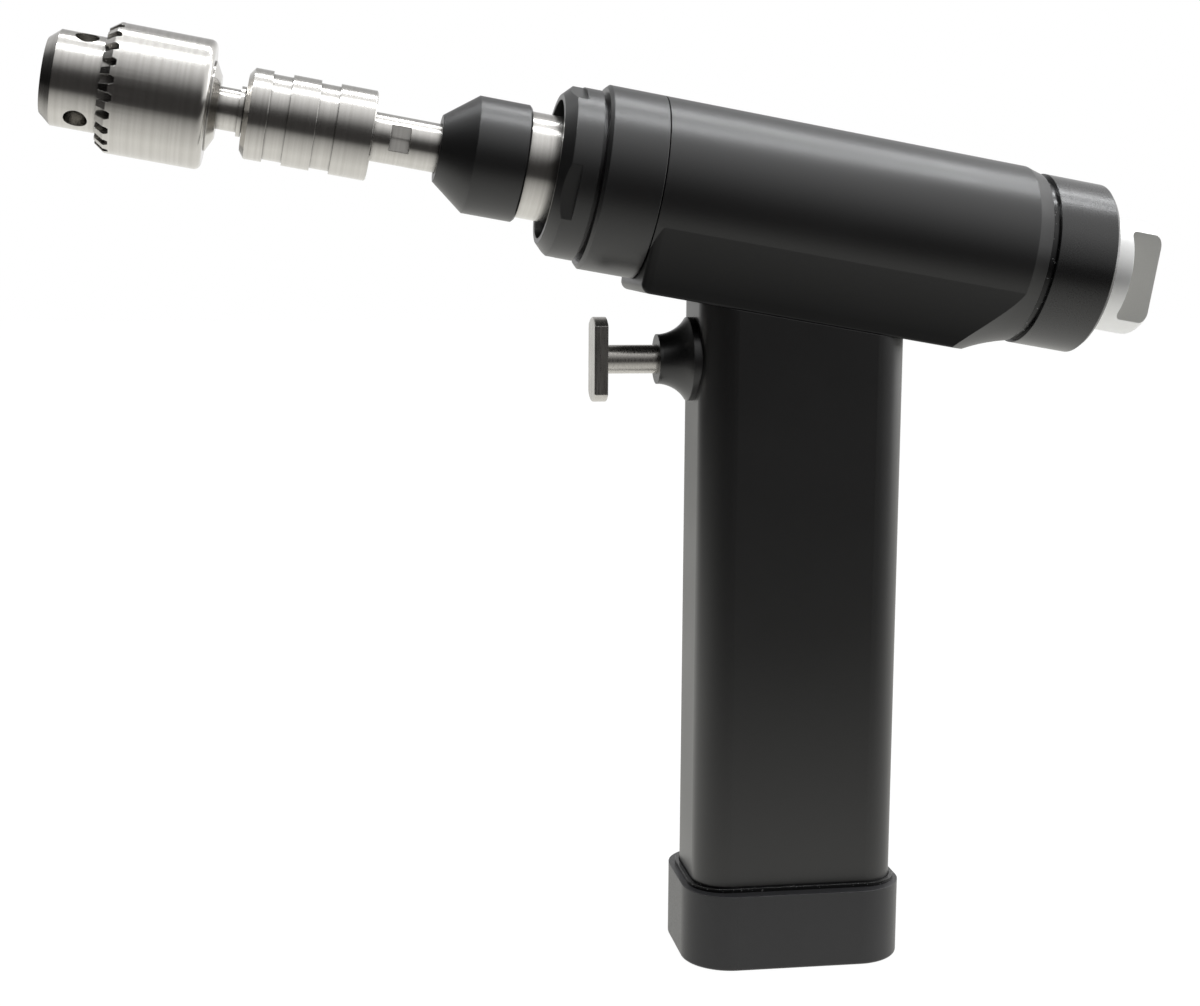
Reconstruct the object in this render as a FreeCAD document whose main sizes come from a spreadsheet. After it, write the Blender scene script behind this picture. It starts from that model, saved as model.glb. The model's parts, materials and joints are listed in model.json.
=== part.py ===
import FreeCAD, Part
import math
import os
import re
import Sketcher
from FreeCAD import Vector

# A surgical power drill: a pistol body with a battery handle, and a keyed
# three-jaw chuck held by a quick coupling in front of it.
# The origin is the centre of the base cap's bottom face. +Z is up and the
# chuck points towards -X.
# Barrel pieces are drawn in the barrel frame: x runs forward along the
# barrel's axis from the handle's axis, z is up and y points to the left side.
# All lengths are in millimetres and all angles in degrees.

SIZES = {
    # Barrel housing
    "barrel_tilt": 9.8,
    "body_radius": 22.2,
    "body_bore_radius": 19.0,
    "seam_ahead": 37.2,
    "tail_behind": 58.7,
    "neck_radius": 21.15,
    "tail_cone_length": 18.3,
    "tail_cone_radius": 29.6,
    "tail_cone_hollow": 50.0,
    "keel_depth": 25.0,
    "keel_top_depth": 9.2,
    "keel_edge_radius": 0.8,
    "keel_corner_radius": 2.2,
    "fit_gap": 0.05,
    # Nose housing, its bearings and the lock nut
    "seam_gap": 0.3,
    "nose_length": 14.4,
    "nose_chamfer": 0.8,
    "spigot_length": 13.0,
    "boss_radius": 18.4,
    "boss_length": 6.0,
    "output_gap": 0.3,
    "nut_gap": 1.1,
    "nut_length": 9.0,
    "nut_radius": 20.5,
    "nut_bevel": 2.5,
    "nut_opening_radius": 16.7,
    "nut_wall": 3.9,
    "flat_count": 4,
    "flat_angle": 75.0,
    "flat_depth": 1.1,
    "flat_length": 5.0,
    "bearing_radius": 12.0,
    "bearing_width": 5.0,
    "rear_bearing_inset": 0.5,
    "front_bearing_inset": 1.6,
    "nose_bore_radius": 10.5,
    "front_seal_width": 3.0,
    # Spindle and release collar
    "journal_radius": 7.45,
    "spindle_stub_radius": 5.0,
    "output_radius": 12.7,
    "output_length": 19.8,
    "socket_radius": 5.85,
    "socket_length": 23.5,
    "socket_nose_length": 9.4,
    "socket_nose_radius": 8.3,
    "spring_pocket_length": 6.1,
    "output_wall": 1.3,
    "lock_ball_radius": 1.6,
    "lock_ball_orbit": 6.9,
    "lock_ball_inset": 3.0,
    "ball_count": 3,
    "collar_radius": 14.0,
    "collar_overlap": 1.7,
    "collar_barrel_length": 12.4,
    "collar_cone_length": 7.9,
    "collar_tip_radius": 7.96,
    "collar_tip_bore": 6.05,
    "collar_tip_wall": 4.1,
    "collar_chamfer": 0.5,
    "collar_spring_length": 11.0,
    "spring_end_gap": 0.1,
    "collar_spring_play": 0.4,
    "collar_land_length": 3.2,
    "collar_recess_radius": 10.2,
    "collar_spring_radius": 10.4,
    "collar_spring_wire": 1.1,
    # Adapter with its quick coupling
    "shank_radius": 5.8,
    "shank_rear_gap": 1.0,
    "ball_groove_depth": 0.6,
    "notch_count": 3,
    "notch_ahead": 98.0,
    "notch_length": 4.7,
    "notch_depth": 0.87,
    "notch_angle": 3.0,
    "coupling_rear_ahead": 104.5,
    "coupling_end_play": 0.3,
    "coupling_rear_chamfer": 0.3,
    "coupling_ring_radius": 10.6,
    "coupling_groove_depth": 0.65,
    "rear_ring_length": 8.7,
    "rear_groove_length": 4.6,
    "middle_ring_length": 6.5,
    "front_groove_length": 4.6,
    "front_ring_length": 4.2,
    "coupling_bevel_length": 1.2,
    "coupling_bevel_depth": 1.65,
    "coupling_bore_radius": 9.0,
    "coupling_land_rear": 14.5,
    "coupling_land_length": 10.3,
    "coupling_recess_length": 3.7,
    "head_radius": 8.0,
    "head_rear": 14.6,
    "head_front_inset": 0.9,
    "neck_shaft_radius": 6.8,
    "flange_width": 2.2,
    "arbor_hole_depth": 21.0,
    "arbor_end_gap": 0.6,
    "coupling_ball_radius": 2.0,
    "coupling_ball_orbit": 6.0,
    "coupling_ball_ahead": 22.5,
    "coupling_spring_radius": 7.95,
    "coupling_spring_wire": 0.9,
    # Chuck arbor
    "arbor_radius": 4.95,
    "arbor_groove_depth": 1.0,
    "arbor_ring_radius": 5.85,
    "arbor_ring_width": 1.0,
    "arbor_ring_gap": 0.3,
    "arbor_thread_radius": 4.5,
    "arbor_thread_length": 9.6,
    "arbor_thread_gap": 0.2,
    # Keyed chuck
    "chuck_rear_ahead": 140.4,
    "chuck_length": 39.4,
    "chuck_tail_radius": 7.3,
    "chuck_tail_bevel": 1.6,
    "chuck_back_radius": 10.4,
    "chuck_nose_radius": 11.0,
    "chuck_bevel_length": 2.6,
    "chuck_rim_radius": 8.77,
    "chuck_mouth_radius": 3.6,
    "chuck_mouth_depth": 27.0,
    "nut_slot_start": 15.1,
    "nut_slot_length": 7.1,
    "nut_slot_radius": 8.0,
    "chuck_nut_play": 0.2,
    "chuck_nut_front_gap": 0.1,
    "chuck_nut_rear_gap": 0.12,
    "sleeve_rear_step": 2.0,
    "sleeve_length": 24.2,
    "sleeve_radius": 15.0,
    "sleeve_bore_radius": 11.75,
    "sleeve_rear_wall": 2.2,
    "sleeve_rear_round": 1.6,
    "sleeve_bevel_length": 2.2,
    "sleeve_bevel_depth": 1.6,
    "tooth_count": 23,
    "tooth_gap_width": 2.1,
    "tooth_gap_tip": 1.3,
    "tooth_gap_length": 3.3,
    "tooth_gap_angle": 4.0,
    "tooth_floor_radius": 12.3,
    "key_hole_count": 3,
    "key_hole_radius": 2.7,
    "key_hole_inset": 8.6,
    "key_hole_angle": 66.5,
    "key_hole_depth": 4.4,
    "jaw_count": 3,
    "jaw_slope": 15.0,
    "jaw_radius": 2.1,
    "jaw_length": 21.0,
    "jaw_tip_orbit": 1.2,
    "jaw_tip_inset": 1.3,
    "jaw_grip_radius": 0.75,
    "jaw_gap": 0.17,
    "jaw_travel": 9.66,
    # Planetary gearbox
    "gear_module": 0.7,
    "sun_teeth": 12,
    "planet_teeth": 18,
    "ring_teeth": 48,
    "pressure_angle": 20.0,
    "gear_backlash": 0.16,
    "planet_count": 3,
    "planet_width": 9.0,
    "planet_inset": 2.9,
    "planet_pin_radius": 1.5,
    "planet_end_play": 0.6,
    "carrier_width": 4.0,
    "carrier_radius": 14.5,
    "spacer_length": 10.2,
    "spacer_wall": 2.0,
    "ring_length": 14.0,
    "sun_inset": 1.5,
    "sun_end_gap": 0.5,
    "pin_head_length": 0.3,
    # Motor
    "plate_width": 4.0,
    "can_length": 46.0,
    "can_wall": 1.5,
    "bell_width": 4.0,
    "motor_shaft_radius": 2.5,
    "motor_bearing_radius": 6.5,
    "magnet_thickness": 3.4,
    "magnet_length": 36.0,
    "magnet_angle": 140.0,
    "magnet_inset": 4.0,
    "rotor_inset": 1.5,
    "shaft_end_inset": 0.5,
    "rotor_radius": 13.5,
    "rotor_slots": 7,
    "rotor_slot_width": 2.2,
    "rotor_slot_depth": 6.0,
    "commutator_radius": 5.0,
    "commutator_length": 3.5,
    "commutator_end_gap": 1.0,
    "brush_end_gap": 0.5,
    "brush_ring_gap": 0.6,
    "brush_holder_width": 4.5,
    "brush_side": 3.0,
    "brush_length": 7.0,
    # Rear cap, selector knob and switch
    "seal_width": 2.0,
    "seal_inset": 0.9,
    "cap_length": 15.6,
    "cap_radius": 21.25,
    "cap_chamfer": 0.9,
    "cap_floor": 3.0,
    "cap_spigot_gap": 0.2,
    "cap_bore_radius": 16.0,
    "knob_gap": 0.3,
    "knob_length": 14.9,
    "knob_radius": 14.3,
    "knob_round": 2.2,
    "knob_flat_half": 9.1,
    "knob_flat_inset": 6.4,
    "knob_flat_half_height": 11.0,
    "knob_flat_corner": 1.6,
    "knob_shaft_radius": 4.0,
    "knob_shaft_length": 10.0,
    "selector_radius": 11.0,
    "selector_length": 9.0,
    # Handle
    "handle_depth": 50.9,
    "handle_width": 31.0,
    "handle_corner": 8.25,
    "handle_centre": 0.3,
    "handle_wall": 1.8,
    "handle_bottom": 11.0,
    "bracket_thickness": 4.5,
    "bracket_clearance": 0.05,
    "bracket_screw_radius": 1.5,
    "bracket_screw_grip": 3.5,
    "bracket_screw_head_radius": 2.6,
    "bracket_screw_head_height": 2.0,
    "bracket_screw_end_edge": 8.1,
    "bracket_screw_side_edge": 5.65,
    "bracket_screw_tip_gap": 0.2,
    "lead_edge": 1.6,
    "lead_hole_radius": 3.2,
    "lead_radius": 0.9,
    "lead_length": 19.6,
    "lead_spacing": 2.8,
    # Trigger
    "trigger_drop": 35.1,
    "plate_reach": 25.05,
    "plate_thickness": 3.3,
    "trigger_width": 10.4,
    "trigger_side_height": 16.6,
    "trigger_end_radius": 7.7,
    "trigger_edge_round": 0.4,
    "stem_radius": 3.5,
    "stem_collar_radius": 4.4,
    "stem_collar_width": 1.7,
    "stem_tail_radius": 1.6,
    "stem_tail_length": 6.0,
    "guide_reach": 9.05,
    "guide_saddle_depth": 1.5,
    "guide_tip_radius": 6.1,
    "guide_tip_length": 0.8,
    "guide_flare_radius": 9.0,
    "guide_flange_radius": 10.25,
    "guide_flange_reach": 1.55,
    "guide_boss_radius": 6.0,
    "guide_boss_inset": 4.55,
    "stem_collar_gap": 0.1,
    "guide_hole_gap": 0.1,
    "guide_nut_radius": 8.2,
    "guide_nut_width": 2.0,
    "guide_seal_radius": 4.4,
    "guide_seal_width": 1.3,
    "guide_seal_inset": 1.2,
    "trigger_spring_radius": 3.2,
    "trigger_spring_wire": 0.8,
    "trigger_switch_front": 2.0,
    "trigger_switch_length": 11.0,
    "trigger_switch_width": 14.0,
    "trigger_switch_height": 9.0,
    # Electronics and battery
    "electronics_room": 11.963,
    "board_front_gap": 0.3,
    "board_thickness": 1.6,
    "pin_radius": 0.9,
    "pin_length": 1.7,
    "pin_gap": 0.3,
    "pin_spacing": 12.0,
    "pin_count": 3,
    "case_clearance": 0.45,
    "case_bottom": 4.0,
    "cell_radius": 9.25,
    "cell_length": 65.0,
    "cell_floor": 4.0,
    "cell_spacing": 21.0,
    "cell_gap": 0.1,
    "contact_plate_thickness": 2.0,
    # Base cap
    "base_end_margin": 2.35,
    "base_side_margin": 4.4,
    "base_corner": 12.05,
    "base_height": 19.15,
    "base_edge_round": 0.8,
    "base_clearance": 0.3,
    "base_seal_height": 1.0,
    "base_seal_width": 1.0,
    "base_seal_gap": 0.15,
    "base_screw_radius": 1.5,
    "base_screw_head_radius": 2.8,
    "base_screw_head_height": 1.8,
    "base_screw_recess": 2.0,
    "base_screw_length": 5.5,
    "base_screw_edge": 2.7,
    "base_screw_tip_gap": 0.2,
}

# Places that follow from the sizes above, in the barrel frame unless a
# comment says otherwise.
PLACES = {
    "half_tilt": "barrel_tilt / 2",
    "keel_half_width": "handle_width / 2",
    "bracket_depth": "handle_depth - 2 * handle_wall - 2 * bracket_clearance",
    "bracket_width": "handle_width - 2 * handle_wall - 2 * bracket_clearance",
    "bracket_screw_ahead": "bracket_depth / 2 - bracket_screw_end_edge",
    "bracket_screw_side": "bracket_width / 2 - bracket_screw_side_edge",
    "lead_behind": "bracket_depth / 2 - lead_edge",
    "screw_centre": "-keel_depth * tan(barrel_tilt)",
    "front_screw_ahead": "screw_centre + bracket_screw_ahead",
    "rear_screw_ahead": "screw_centre - bracket_screw_ahead",
    "tail_end": "-tail_behind",
    "cone_start": "tail_cone_length - tail_behind",
    "keel_top_half_width": "sqrt(body_radius ^ 2 - keel_top_depth ^ 2)",
    "insert_radius": "body_bore_radius - fit_gap",
    "nose_front": "seam_ahead + nose_length",
    "nut_rear": "nose_front + nut_gap",
    "nut_front": "nut_rear + nut_length",
    "boss_front": "nose_front + boss_length",
    "spigot_rear": "seam_ahead - spigot_length",
    "rear_bearing_rear": "spigot_rear + rear_bearing_inset",
    "rear_bearing_front": "rear_bearing_rear + bearing_width",
    "front_bearing_front": "nose_front - front_bearing_inset",
    "front_bearing_rear": "front_bearing_front - bearing_width",
    "bearing_pocket_radius": "bearing_radius + fit_gap",
    "bearing_bore_radius": "journal_radius + fit_gap",
    "seal_bore_radius": "output_radius + 2 * fit_gap",
    "output_rear": "front_bearing_front + output_gap",
    "output_front": "output_rear + output_length",
    "socket_front": "output_front + socket_nose_length",
    "socket_rear": "socket_front - socket_length",
    "spring_pocket_rear": "output_front - spring_pocket_length",
    "lock_ball_ahead": "socket_front - lock_ball_inset",
    "collar_rear": "output_front - collar_overlap",
    "collar_cone_rear": "collar_rear + collar_barrel_length",
    "collar_front": "collar_cone_rear + collar_cone_length",
    "collar_land_rear": "spring_pocket_rear + collar_spring_length + collar_spring_play",
    "collar_land_front": "collar_land_rear + collar_land_length",
    "collar_recess_front": "collar_front - collar_tip_wall",
    "collar_bore_radius": "output_radius + fit_gap",
    "collar_land_radius": "lock_ball_orbit + lock_ball_radius + fit_gap",
    "shank_rear": "socket_rear + shank_rear_gap",
    "ball_groove_radius": "shank_radius - ball_groove_depth",
    "coupling_body_rear": "coupling_rear_ahead + coupling_end_play",
    "flange_front": "coupling_body_rear + flange_width",
    "ring_1_front": "coupling_rear_ahead + rear_ring_length",
    "ring_2_rear": "ring_1_front + rear_groove_length",
    "ring_2_front": "ring_2_rear + middle_ring_length",
    "ring_3_rear": "ring_2_front + front_groove_length",
    "ring_3_front": "ring_3_rear + front_ring_length",
    "coupling_front": "ring_3_front + coupling_bevel_length",
    "coupling_groove_radius": "coupling_ring_radius - coupling_groove_depth",
    "coupling_rim_radius": "coupling_ring_radius - coupling_bevel_depth",
    "land_rear": "coupling_rear_ahead + coupling_land_rear",
    "land_front": "land_rear + coupling_land_length",
    "recess_front": "land_front + coupling_recess_length",
    "head_bore_radius": "head_radius + fit_gap",
    "flange_radius": "coupling_bore_radius - fit_gap",
    "head_start": "coupling_rear_ahead + head_rear",
    "head_front": "coupling_front - head_front_inset",
    "arbor_hole_rear": "head_front - arbor_hole_depth",
    "arbor_hole_radius": "arbor_radius + fit_gap",
    "coupling_ball_place": "coupling_rear_ahead + coupling_ball_ahead",
    "arbor_rear": "arbor_hole_rear + arbor_end_gap",
    "arbor_ring_rear": "coupling_front + arbor_ring_gap",
    "arbor_ring_front": "arbor_ring_rear + arbor_ring_width",
    "arbor_front": "chuck_rear_ahead + arbor_thread_length",
    "arbor_groove_radius": "arbor_radius - arbor_groove_depth",
    "chuck_front": "chuck_rear_ahead + chuck_length",
    "chuck_bevel_rear": "chuck_front - chuck_bevel_length",
    "chuck_back_rear": "chuck_rear_ahead + chuck_tail_bevel",
    "mouth_rear": "chuck_front - chuck_mouth_depth",
    "nut_slot_rear": "chuck_rear_ahead + nut_slot_start",
    "nut_slot_front": "nut_slot_rear + nut_slot_length",
    "sleeve_rear": "chuck_rear_ahead + sleeve_rear_step",
    "sleeve_front": "sleeve_rear + sleeve_length",
    "sleeve_bevel_rear": "sleeve_front - sleeve_bevel_length",
    "sleeve_face_radius": "sleeve_radius - sleeve_bevel_depth",
    "sleeve_wall_front": "sleeve_rear + sleeve_rear_wall",
    "key_hole_ahead": "chuck_front - key_hole_inset",
    "key_hole_floor": "chuck_nose_radius - key_hole_depth",
    "jaw_tip": "chuck_front - jaw_tip_inset",
    "jaw_angle": "key_hole_angle - 60",
    "jaw_hole_radius": "jaw_radius + fit_gap",
    "chuck_nut_rear": "nut_slot_rear + chuck_nut_play",
    "chuck_nut_front": "nut_slot_front - chuck_nut_play",
    "jaw_edge_at_nut": "jaw_tip_orbit + (jaw_tip - chuck_nut_rear) * tan(jaw_slope) + jaw_radius / cos(jaw_slope)",
    "chuck_nut_rear_bore": "jaw_edge_at_nut + chuck_nut_rear_gap",
    "chuck_nut_front_bore": "nut_slot_radius + chuck_nut_front_gap",
    "ring_front": "spigot_rear - spacer_length",
    "ring_rear": "ring_front - ring_length",
    "planet_rear": "ring_rear + planet_inset",
    "planet_front": "planet_rear + planet_width",
    "carrier_rear": "planet_front + planet_end_play",
    "carrier_front": "carrier_rear + carrier_width",
    "planet_orbit": "gear_module * (sun_teeth + planet_teeth) / 2",
    "sun_rear": "ring_rear + sun_inset",
    "sun_front": "carrier_rear - sun_end_gap",
    "plate_rear": "ring_rear - plate_width",
    "can_rear": "plate_rear - can_length",
    "bell_rear": "can_rear - bell_width",
    "can_bore_radius": "insert_radius - can_wall",
    "magnet_front": "plate_rear - magnet_inset",
    "magnet_rear": "magnet_front - magnet_length",
    "commutator_rear": "can_rear + commutator_end_gap",
    "brush_holder_rear": "can_rear + brush_end_gap",
    "brush_holder_front": "brush_holder_rear + brush_holder_width",
    "rotor_front": "magnet_front - rotor_inset",
    "rotor_rear": "magnet_rear + rotor_inset",
    "motor_shaft_rear": "bell_rear + shaft_end_inset",
    "motor_bore_radius": "motor_shaft_radius + fit_gap",
    "cap_front": "tail_end - seal_width",
    "cap_rear": "cap_front - cap_length",
    "cap_spigot_front": "bell_rear - cap_spigot_gap",
    "cap_floor_front": "cap_rear + cap_floor",
    "cap_hole_radius": "knob_shaft_radius + fit_gap",
    "rear_seal_radius": "neck_radius - seal_inset",
    "knob_front": "cap_rear - knob_gap",
    "knob_rear": "knob_front - knob_length",
    "knob_shaft_front": "knob_front + knob_shaft_length",
    "knob_flat_front": "knob_front - knob_flat_inset",
    "selector_front": "cap_floor_front + selector_length",
    # Upright places, in the part's own frame
    "keel_drop": "keel_depth / cos(barrel_tilt)",
    "bracket_drop": "(keel_depth + bracket_thickness) / cos(barrel_tilt)",
    "handle_inner_depth": "handle_depth - 2 * handle_wall",
    "handle_inner_width": "handle_width - 2 * handle_wall",
    "handle_inner_corner": "handle_corner - handle_wall",
    "handle_face": "handle_depth / 2 - handle_centre",
    "handle_inner_face": "handle_face - handle_wall",
    "case_depth": "handle_inner_depth - 2 * case_clearance",
    "case_width": "handle_inner_width - 2 * case_clearance",
    "case_corner": "handle_inner_corner - case_clearance",
    "cell_bottom": "case_bottom + cell_floor",
    "cell_top": "cell_bottom + 2 * cell_length",
    "contact_top": "cell_top + contact_plate_thickness",
    "board_height": "contact_top + pin_gap + pin_length",
    "board_top": "board_height + board_thickness",
    "axis_height": "board_top + electronics_room + bracket_drop",
    "trigger_height": "axis_height - trigger_drop",
    "plate_front": "handle_face + plate_reach",
    "guide_front": "handle_face + guide_reach",
    "guide_flange_front": "handle_face + guide_flange_reach",
    "guide_boss_end": "handle_face - guide_boss_inset",
    "saddle_back": "handle_face - guide_saddle_depth",
    "bracket_corner": "handle_inner_corner - bracket_clearance",
    "plate_back": "plate_front - plate_thickness",
    "stem_collar_front": "guide_boss_end - stem_collar_gap",
    "stem_collar_back": "stem_collar_front - stem_collar_width",
    "stem_end": "stem_collar_back - stem_tail_length",
    "guide_bore_radius": "stem_radius + fit_gap",
    "guide_seal_front": "guide_front - guide_seal_inset",
    "guide_seal_back": "guide_seal_front - guide_seal_width",
    "board_front": "-(guide_boss_end - board_front_gap)",
    "board_depth": "bracket_depth / 2 + handle_centre - board_front",
    "board_centre": "board_front + board_depth / 2",
    "base_screw_depth": "base_screw_recess + base_screw_length + base_screw_tip_gap - case_bottom",
    "base_screw_spacing": "case_depth - 2 * base_screw_edge",
    "base_depth": "handle_depth + 2 * base_end_margin",
    "base_width": "handle_width + 2 * base_side_margin",
    "base_pocket_floor": "handle_bottom - base_clearance",
    "base_pocket_depth": "handle_depth + 2 * base_clearance",
    "base_pocket_width": "handle_width + 2 * base_clearance",
    "base_pocket_corner": "handle_corner + base_clearance",
    "base_well_depth": "case_depth + 2 * fit_gap",
    "base_well_width": "case_width + 2 * fit_gap",
    "base_well_corner": "case_corner + fit_gap",
    "seal_inner_depth": "handle_depth + 2 * base_seal_gap",
    "seal_inner_width": "handle_width + 2 * base_seal_gap",
    "seal_inner_corner": "handle_corner + base_seal_gap",
    "seal_outer_depth": "seal_inner_depth + 2 * base_seal_width",
    "seal_outer_width": "seal_inner_width + 2 * base_seal_width",
    "seal_outer_corner": "seal_inner_corner + base_seal_width",
}

FUNCTIONS = {"sqrt", "sin", "cos", "tan"}

doc = FreeCAD.newDocument("SurgicalDrill")
sheet = doc.addObject("Spreadsheet::Sheet", "Sizes")
for row, (alias, number) in enumerate(SIZES.items(), start=1):
    sheet.set(f"A{row}", alias)
    sheet.set(f"B{row}", str(number))
    sheet.setAlias(f"B{row}", alias)
for row, (alias, rule) in enumerate(PLACES.items(), start=1):
    sheet.set(f"D{row}", alias)
    sheet.set(f"E{row}", "=" + rule)
    sheet.setAlias(f"E{row}", alias)
doc.recompute()

BARREL = (
    "create(<<placement>>; create(<<vector>>; 0; 0; Sizes.axis_height); "
    "create(<<rotation>>; create(<<vector>>; sin(Sizes.half_tilt); 0; cos(Sizes.half_tilt)); 180))"
)
TRIGGER = (
    "create(<<placement>>; create(<<vector>>; 0; 0; Sizes.trigger_height); "
    "create(<<rotation>>; create(<<vector>>; 0; 0; 1); 180))"
)
nodes = []


def bound(rule):
    """The rule with each of its words read from the sheet."""
    def word(match):
        name = match.group(0)
        return name if name in FUNCTIONS else "Sizes." + name
    return re.sub(r"[a-z][a-z0-9_]*", word, str(rule))


def value(rule):
    """The rule's number."""
    return float(sheet.evalExpression(bound(rule)))


def keep(thing, frame=None):
    """Count a sub-part in, and set it in the frame it belongs to."""
    nodes.append(thing)
    if frame:
        thing.setExpression("Placement", frame)
    return thing


def new_body(label, frame=None):
    body = doc.addObject("PartDesign::Body", label)
    body.Label = label
    return keep(body, frame)


def origin_feature(body, role):
    return next(item for item in body.Origin.OriginFeatures if item.Role == role)


def new_sketch(body, name, role):
    """A sketch on one of the body's origin planes."""
    sketch = body.newObject("Sketcher::SketchObject", f"{body.Name}_{name}")
    sketch.AttachmentSupport = [(origin_feature(body, role), "")]
    sketch.MapMode = "FlatFace"
    return sketch


def pin_point(sketch, line, end, rules):
    """Fix a line's end at two rules of the sheet."""
    for kind, rule, axis in (("DistanceX", rules[0], -2), ("DistanceY", rules[1], -1)):
        number = value(rule)
        if abs(number) < 1e-9:
            sketch.addConstraint(Sketcher.Constraint("PointOnObject", line, end, axis))
        elif number < 0:
            index = sketch.addConstraint(Sketcher.Constraint(kind, line, end, -1, 1, -number))
            sketch.setExpression(f"Constraints[{index}]", f"-({bound(rule)})")
        else:
            index = sketch.addConstraint(Sketcher.Constraint(kind, -1, 1, line, end, number))
            sketch.setExpression(f"Constraints[{index}]", bound(rule))


def arc_through(first, last, radius, left):
    """An arc between two points, bulging to the left or right of the way."""
    way = last - first
    middle = (first + last) * 0.5
    side = Vector(-way.y, way.x, 0).normalize()
    rise = radius - math.sqrt(radius ** 2 - (way.Length / 2) ** 2)
    return Part.Arc(first, middle + side * (rise if left else -rise), last)


def draw_loop(sketch, corners):
    """A closed outline. Each corner is two rules, and a third and fourth
    make the edge that leaves it an arc: its radius, and the side it bulges to."""
    points = [Vector(value(corner[0]), value(corner[1]), 0) for corner in corners]
    edges = []
    for index, corner in enumerate(corners):
        first = points[index]
        last = points[(index + 1) % len(points)]
        if len(corner) == 2:
            line = sketch.addGeometry(Part.LineSegment(first, last))
            edges.append((line, 1, 2))
            continue
        line = sketch.addGeometry(arc_through(first, last, value(corner[2]), corner[3] == "left"))
        flipped = (sketch.getPoint(line, 1) - first).Length > (sketch.getPoint(line, 2) - first).Length
        edges.append((line, 2, 1) if flipped else (line, 1, 2))
        radius = sketch.addConstraint(Sketcher.Constraint("Radius", line, value(corner[2])))
        sketch.setExpression(f"Constraints[{radius}]", bound(corner[2]))
    for index, (line, start, end) in enumerate(edges):
        after, after_start, _ = edges[(index + 1) % len(edges)]
        sketch.addConstraint(Sketcher.Constraint("Coincident", line, end, after, after_start))
        pin_point(sketch, line, start, corners[index])
    return sketch


def draw_circle(sketch, across, up, radius):
    circle = sketch.addGeometry(Part.Circle(Vector(value(across), value(up), 0), Vector(0, 0, 1), value(radius)))
    index = sketch.addConstraint(Sketcher.Constraint("Radius", circle, value(radius)))
    sketch.setExpression(f"Constraints[{index}]", bound(radius))
    pin_point(sketch, circle, 3, (across, up))
    return sketch


def rounded_rectangle(centre, depth, width, corner):
    """Corners of a rectangle with rounded corners, drawn anticlockwise."""
    low = f"({centre}) - ({depth}) / 2"
    high = f"({centre}) + ({depth}) / 2"
    side = f"({width}) / 2"
    return [
        (f"{low} + ({corner})", f"-{side}"),
        (f"{high} - ({corner})", f"-{side}", corner, "right"),
        (high, f"-{side} + ({corner})"),
        (high, f"{side} - ({corner})", corner, "right"),
        (f"{high} - ({corner})", side),
        (f"{low} + ({corner})", side, corner, "right"),
        (low, f"{side} - ({corner})"),
        (low, f"-{side} + ({corner})", corner, "right"),
    ]


def turned(body, name, corners, cut=False):
    """Turn an outline of (along, radius) corners about the body's x axis."""
    sketch = new_sketch(body, name, "XZ_Plane")
    draw_loop(sketch, corners)
    kind = "PartDesign::Groove" if cut else "PartDesign::Revolution"
    feature = body.newObject(kind, f"{body.Name}_{name}_turn")
    feature.Profile = sketch
    feature.ReferenceAxis = (sketch, ["H_Axis"])
    feature.Angle = 360
    return feature


def padded(body, name, role, corners, start, length, cut=False, circles=()):
    """Pad or pocket an outline from the plane's own offset, along its normal."""
    sketch = new_sketch(body, name, role)
    sketch.setExpression("AttachmentOffset.Base.z", bound(start))
    if corners:
        draw_loop(sketch, corners)
    for circle in circles:
        draw_circle(sketch, *circle)
    feature = body.newObject("PartDesign::Pocket" if cut else "PartDesign::Pad", f"{body.Name}_{name}_run")
    feature.Profile = sketch
    feature.setExpression("Length", bound(length))
    feature.Reversed = cut
    return feature


def around(body, feature, count):
    """Repeat a feature evenly about the body's x axis."""
    pattern = body.newObject("PartDesign::PolarPattern", f"{feature.Name}_ring")
    pattern.Originals = [feature]
    pattern.Axis = (origin_feature(body, "X_Axis"), [""])
    pattern.Angle = 360
    pattern.setExpression("Occurrences", bound(count))
    body.Tip = pattern
    return pattern


def radial_cut(body, name, angle, floor, depth, corners=(), circles=(), count=None):
    """Cut an outline of (along, across) corners outward from a floor radius,
    at an angle about the x axis, once or evenly around."""
    sketch = new_sketch(body, name, "XY_Plane")
    turn = f"{bound(angle)} - 90"
    sketch.setExpression("AttachmentOffset", (
        f"create(<<placement>>; create(<<vector>>; 0; -({bound(floor)}) * sin({turn}); "
        f"({bound(floor)}) * cos({turn})); create(<<rotation>>; create(<<vector>>; 1; 0; 0); {turn}))"))
    if corners:
        draw_loop(sketch, corners)
    for circle in circles:
        draw_circle(sketch, *circle)
    feature = body.newObject("PartDesign::Pocket", f"{body.Name}_{name}_cut")
    feature.Profile = sketch
    feature.setExpression("Length", bound(depth))
    feature.Reversed = True
    return feature if count is None else around(body, feature, count)


def rounded(body, name, radius, wanted):
    """Round the edges of the body that the test picks, a test of the edge."""
    doc.recompute()
    base = body.Tip
    edges = [f"Edge{index}" for index, edge in enumerate(base.Shape.Edges, start=1) if wanted(edge)]
    feature = body.newObject("PartDesign::Fillet", f"{body.Name}_{name}")
    feature.Base = (base, edges)
    feature.setExpression("Radius", bound(radius))
    return feature


def ring_at(along, radius):
    """A test for the circular edge at a place along x with a radius."""
    def test(edge):
        box = edge.BoundBox
        return (abs(box.XMin - value(along)) < 0.01 and abs(box.XMax - value(along)) < 0.01
                and abs(edge.Length - 2 * math.pi * value(radius)) < 0.05)
    return test


def in_place(thing, **rules):
    """Bind a primitive's sizes and place to rules."""
    for name, rule in rules.items():
        path = {"along": "Placement.Base.x", "across": "Placement.Base.y", "up": "Placement.Base.z"}.get(name, name)
        thing.setExpression(path, bound(rule))
    return thing


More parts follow.
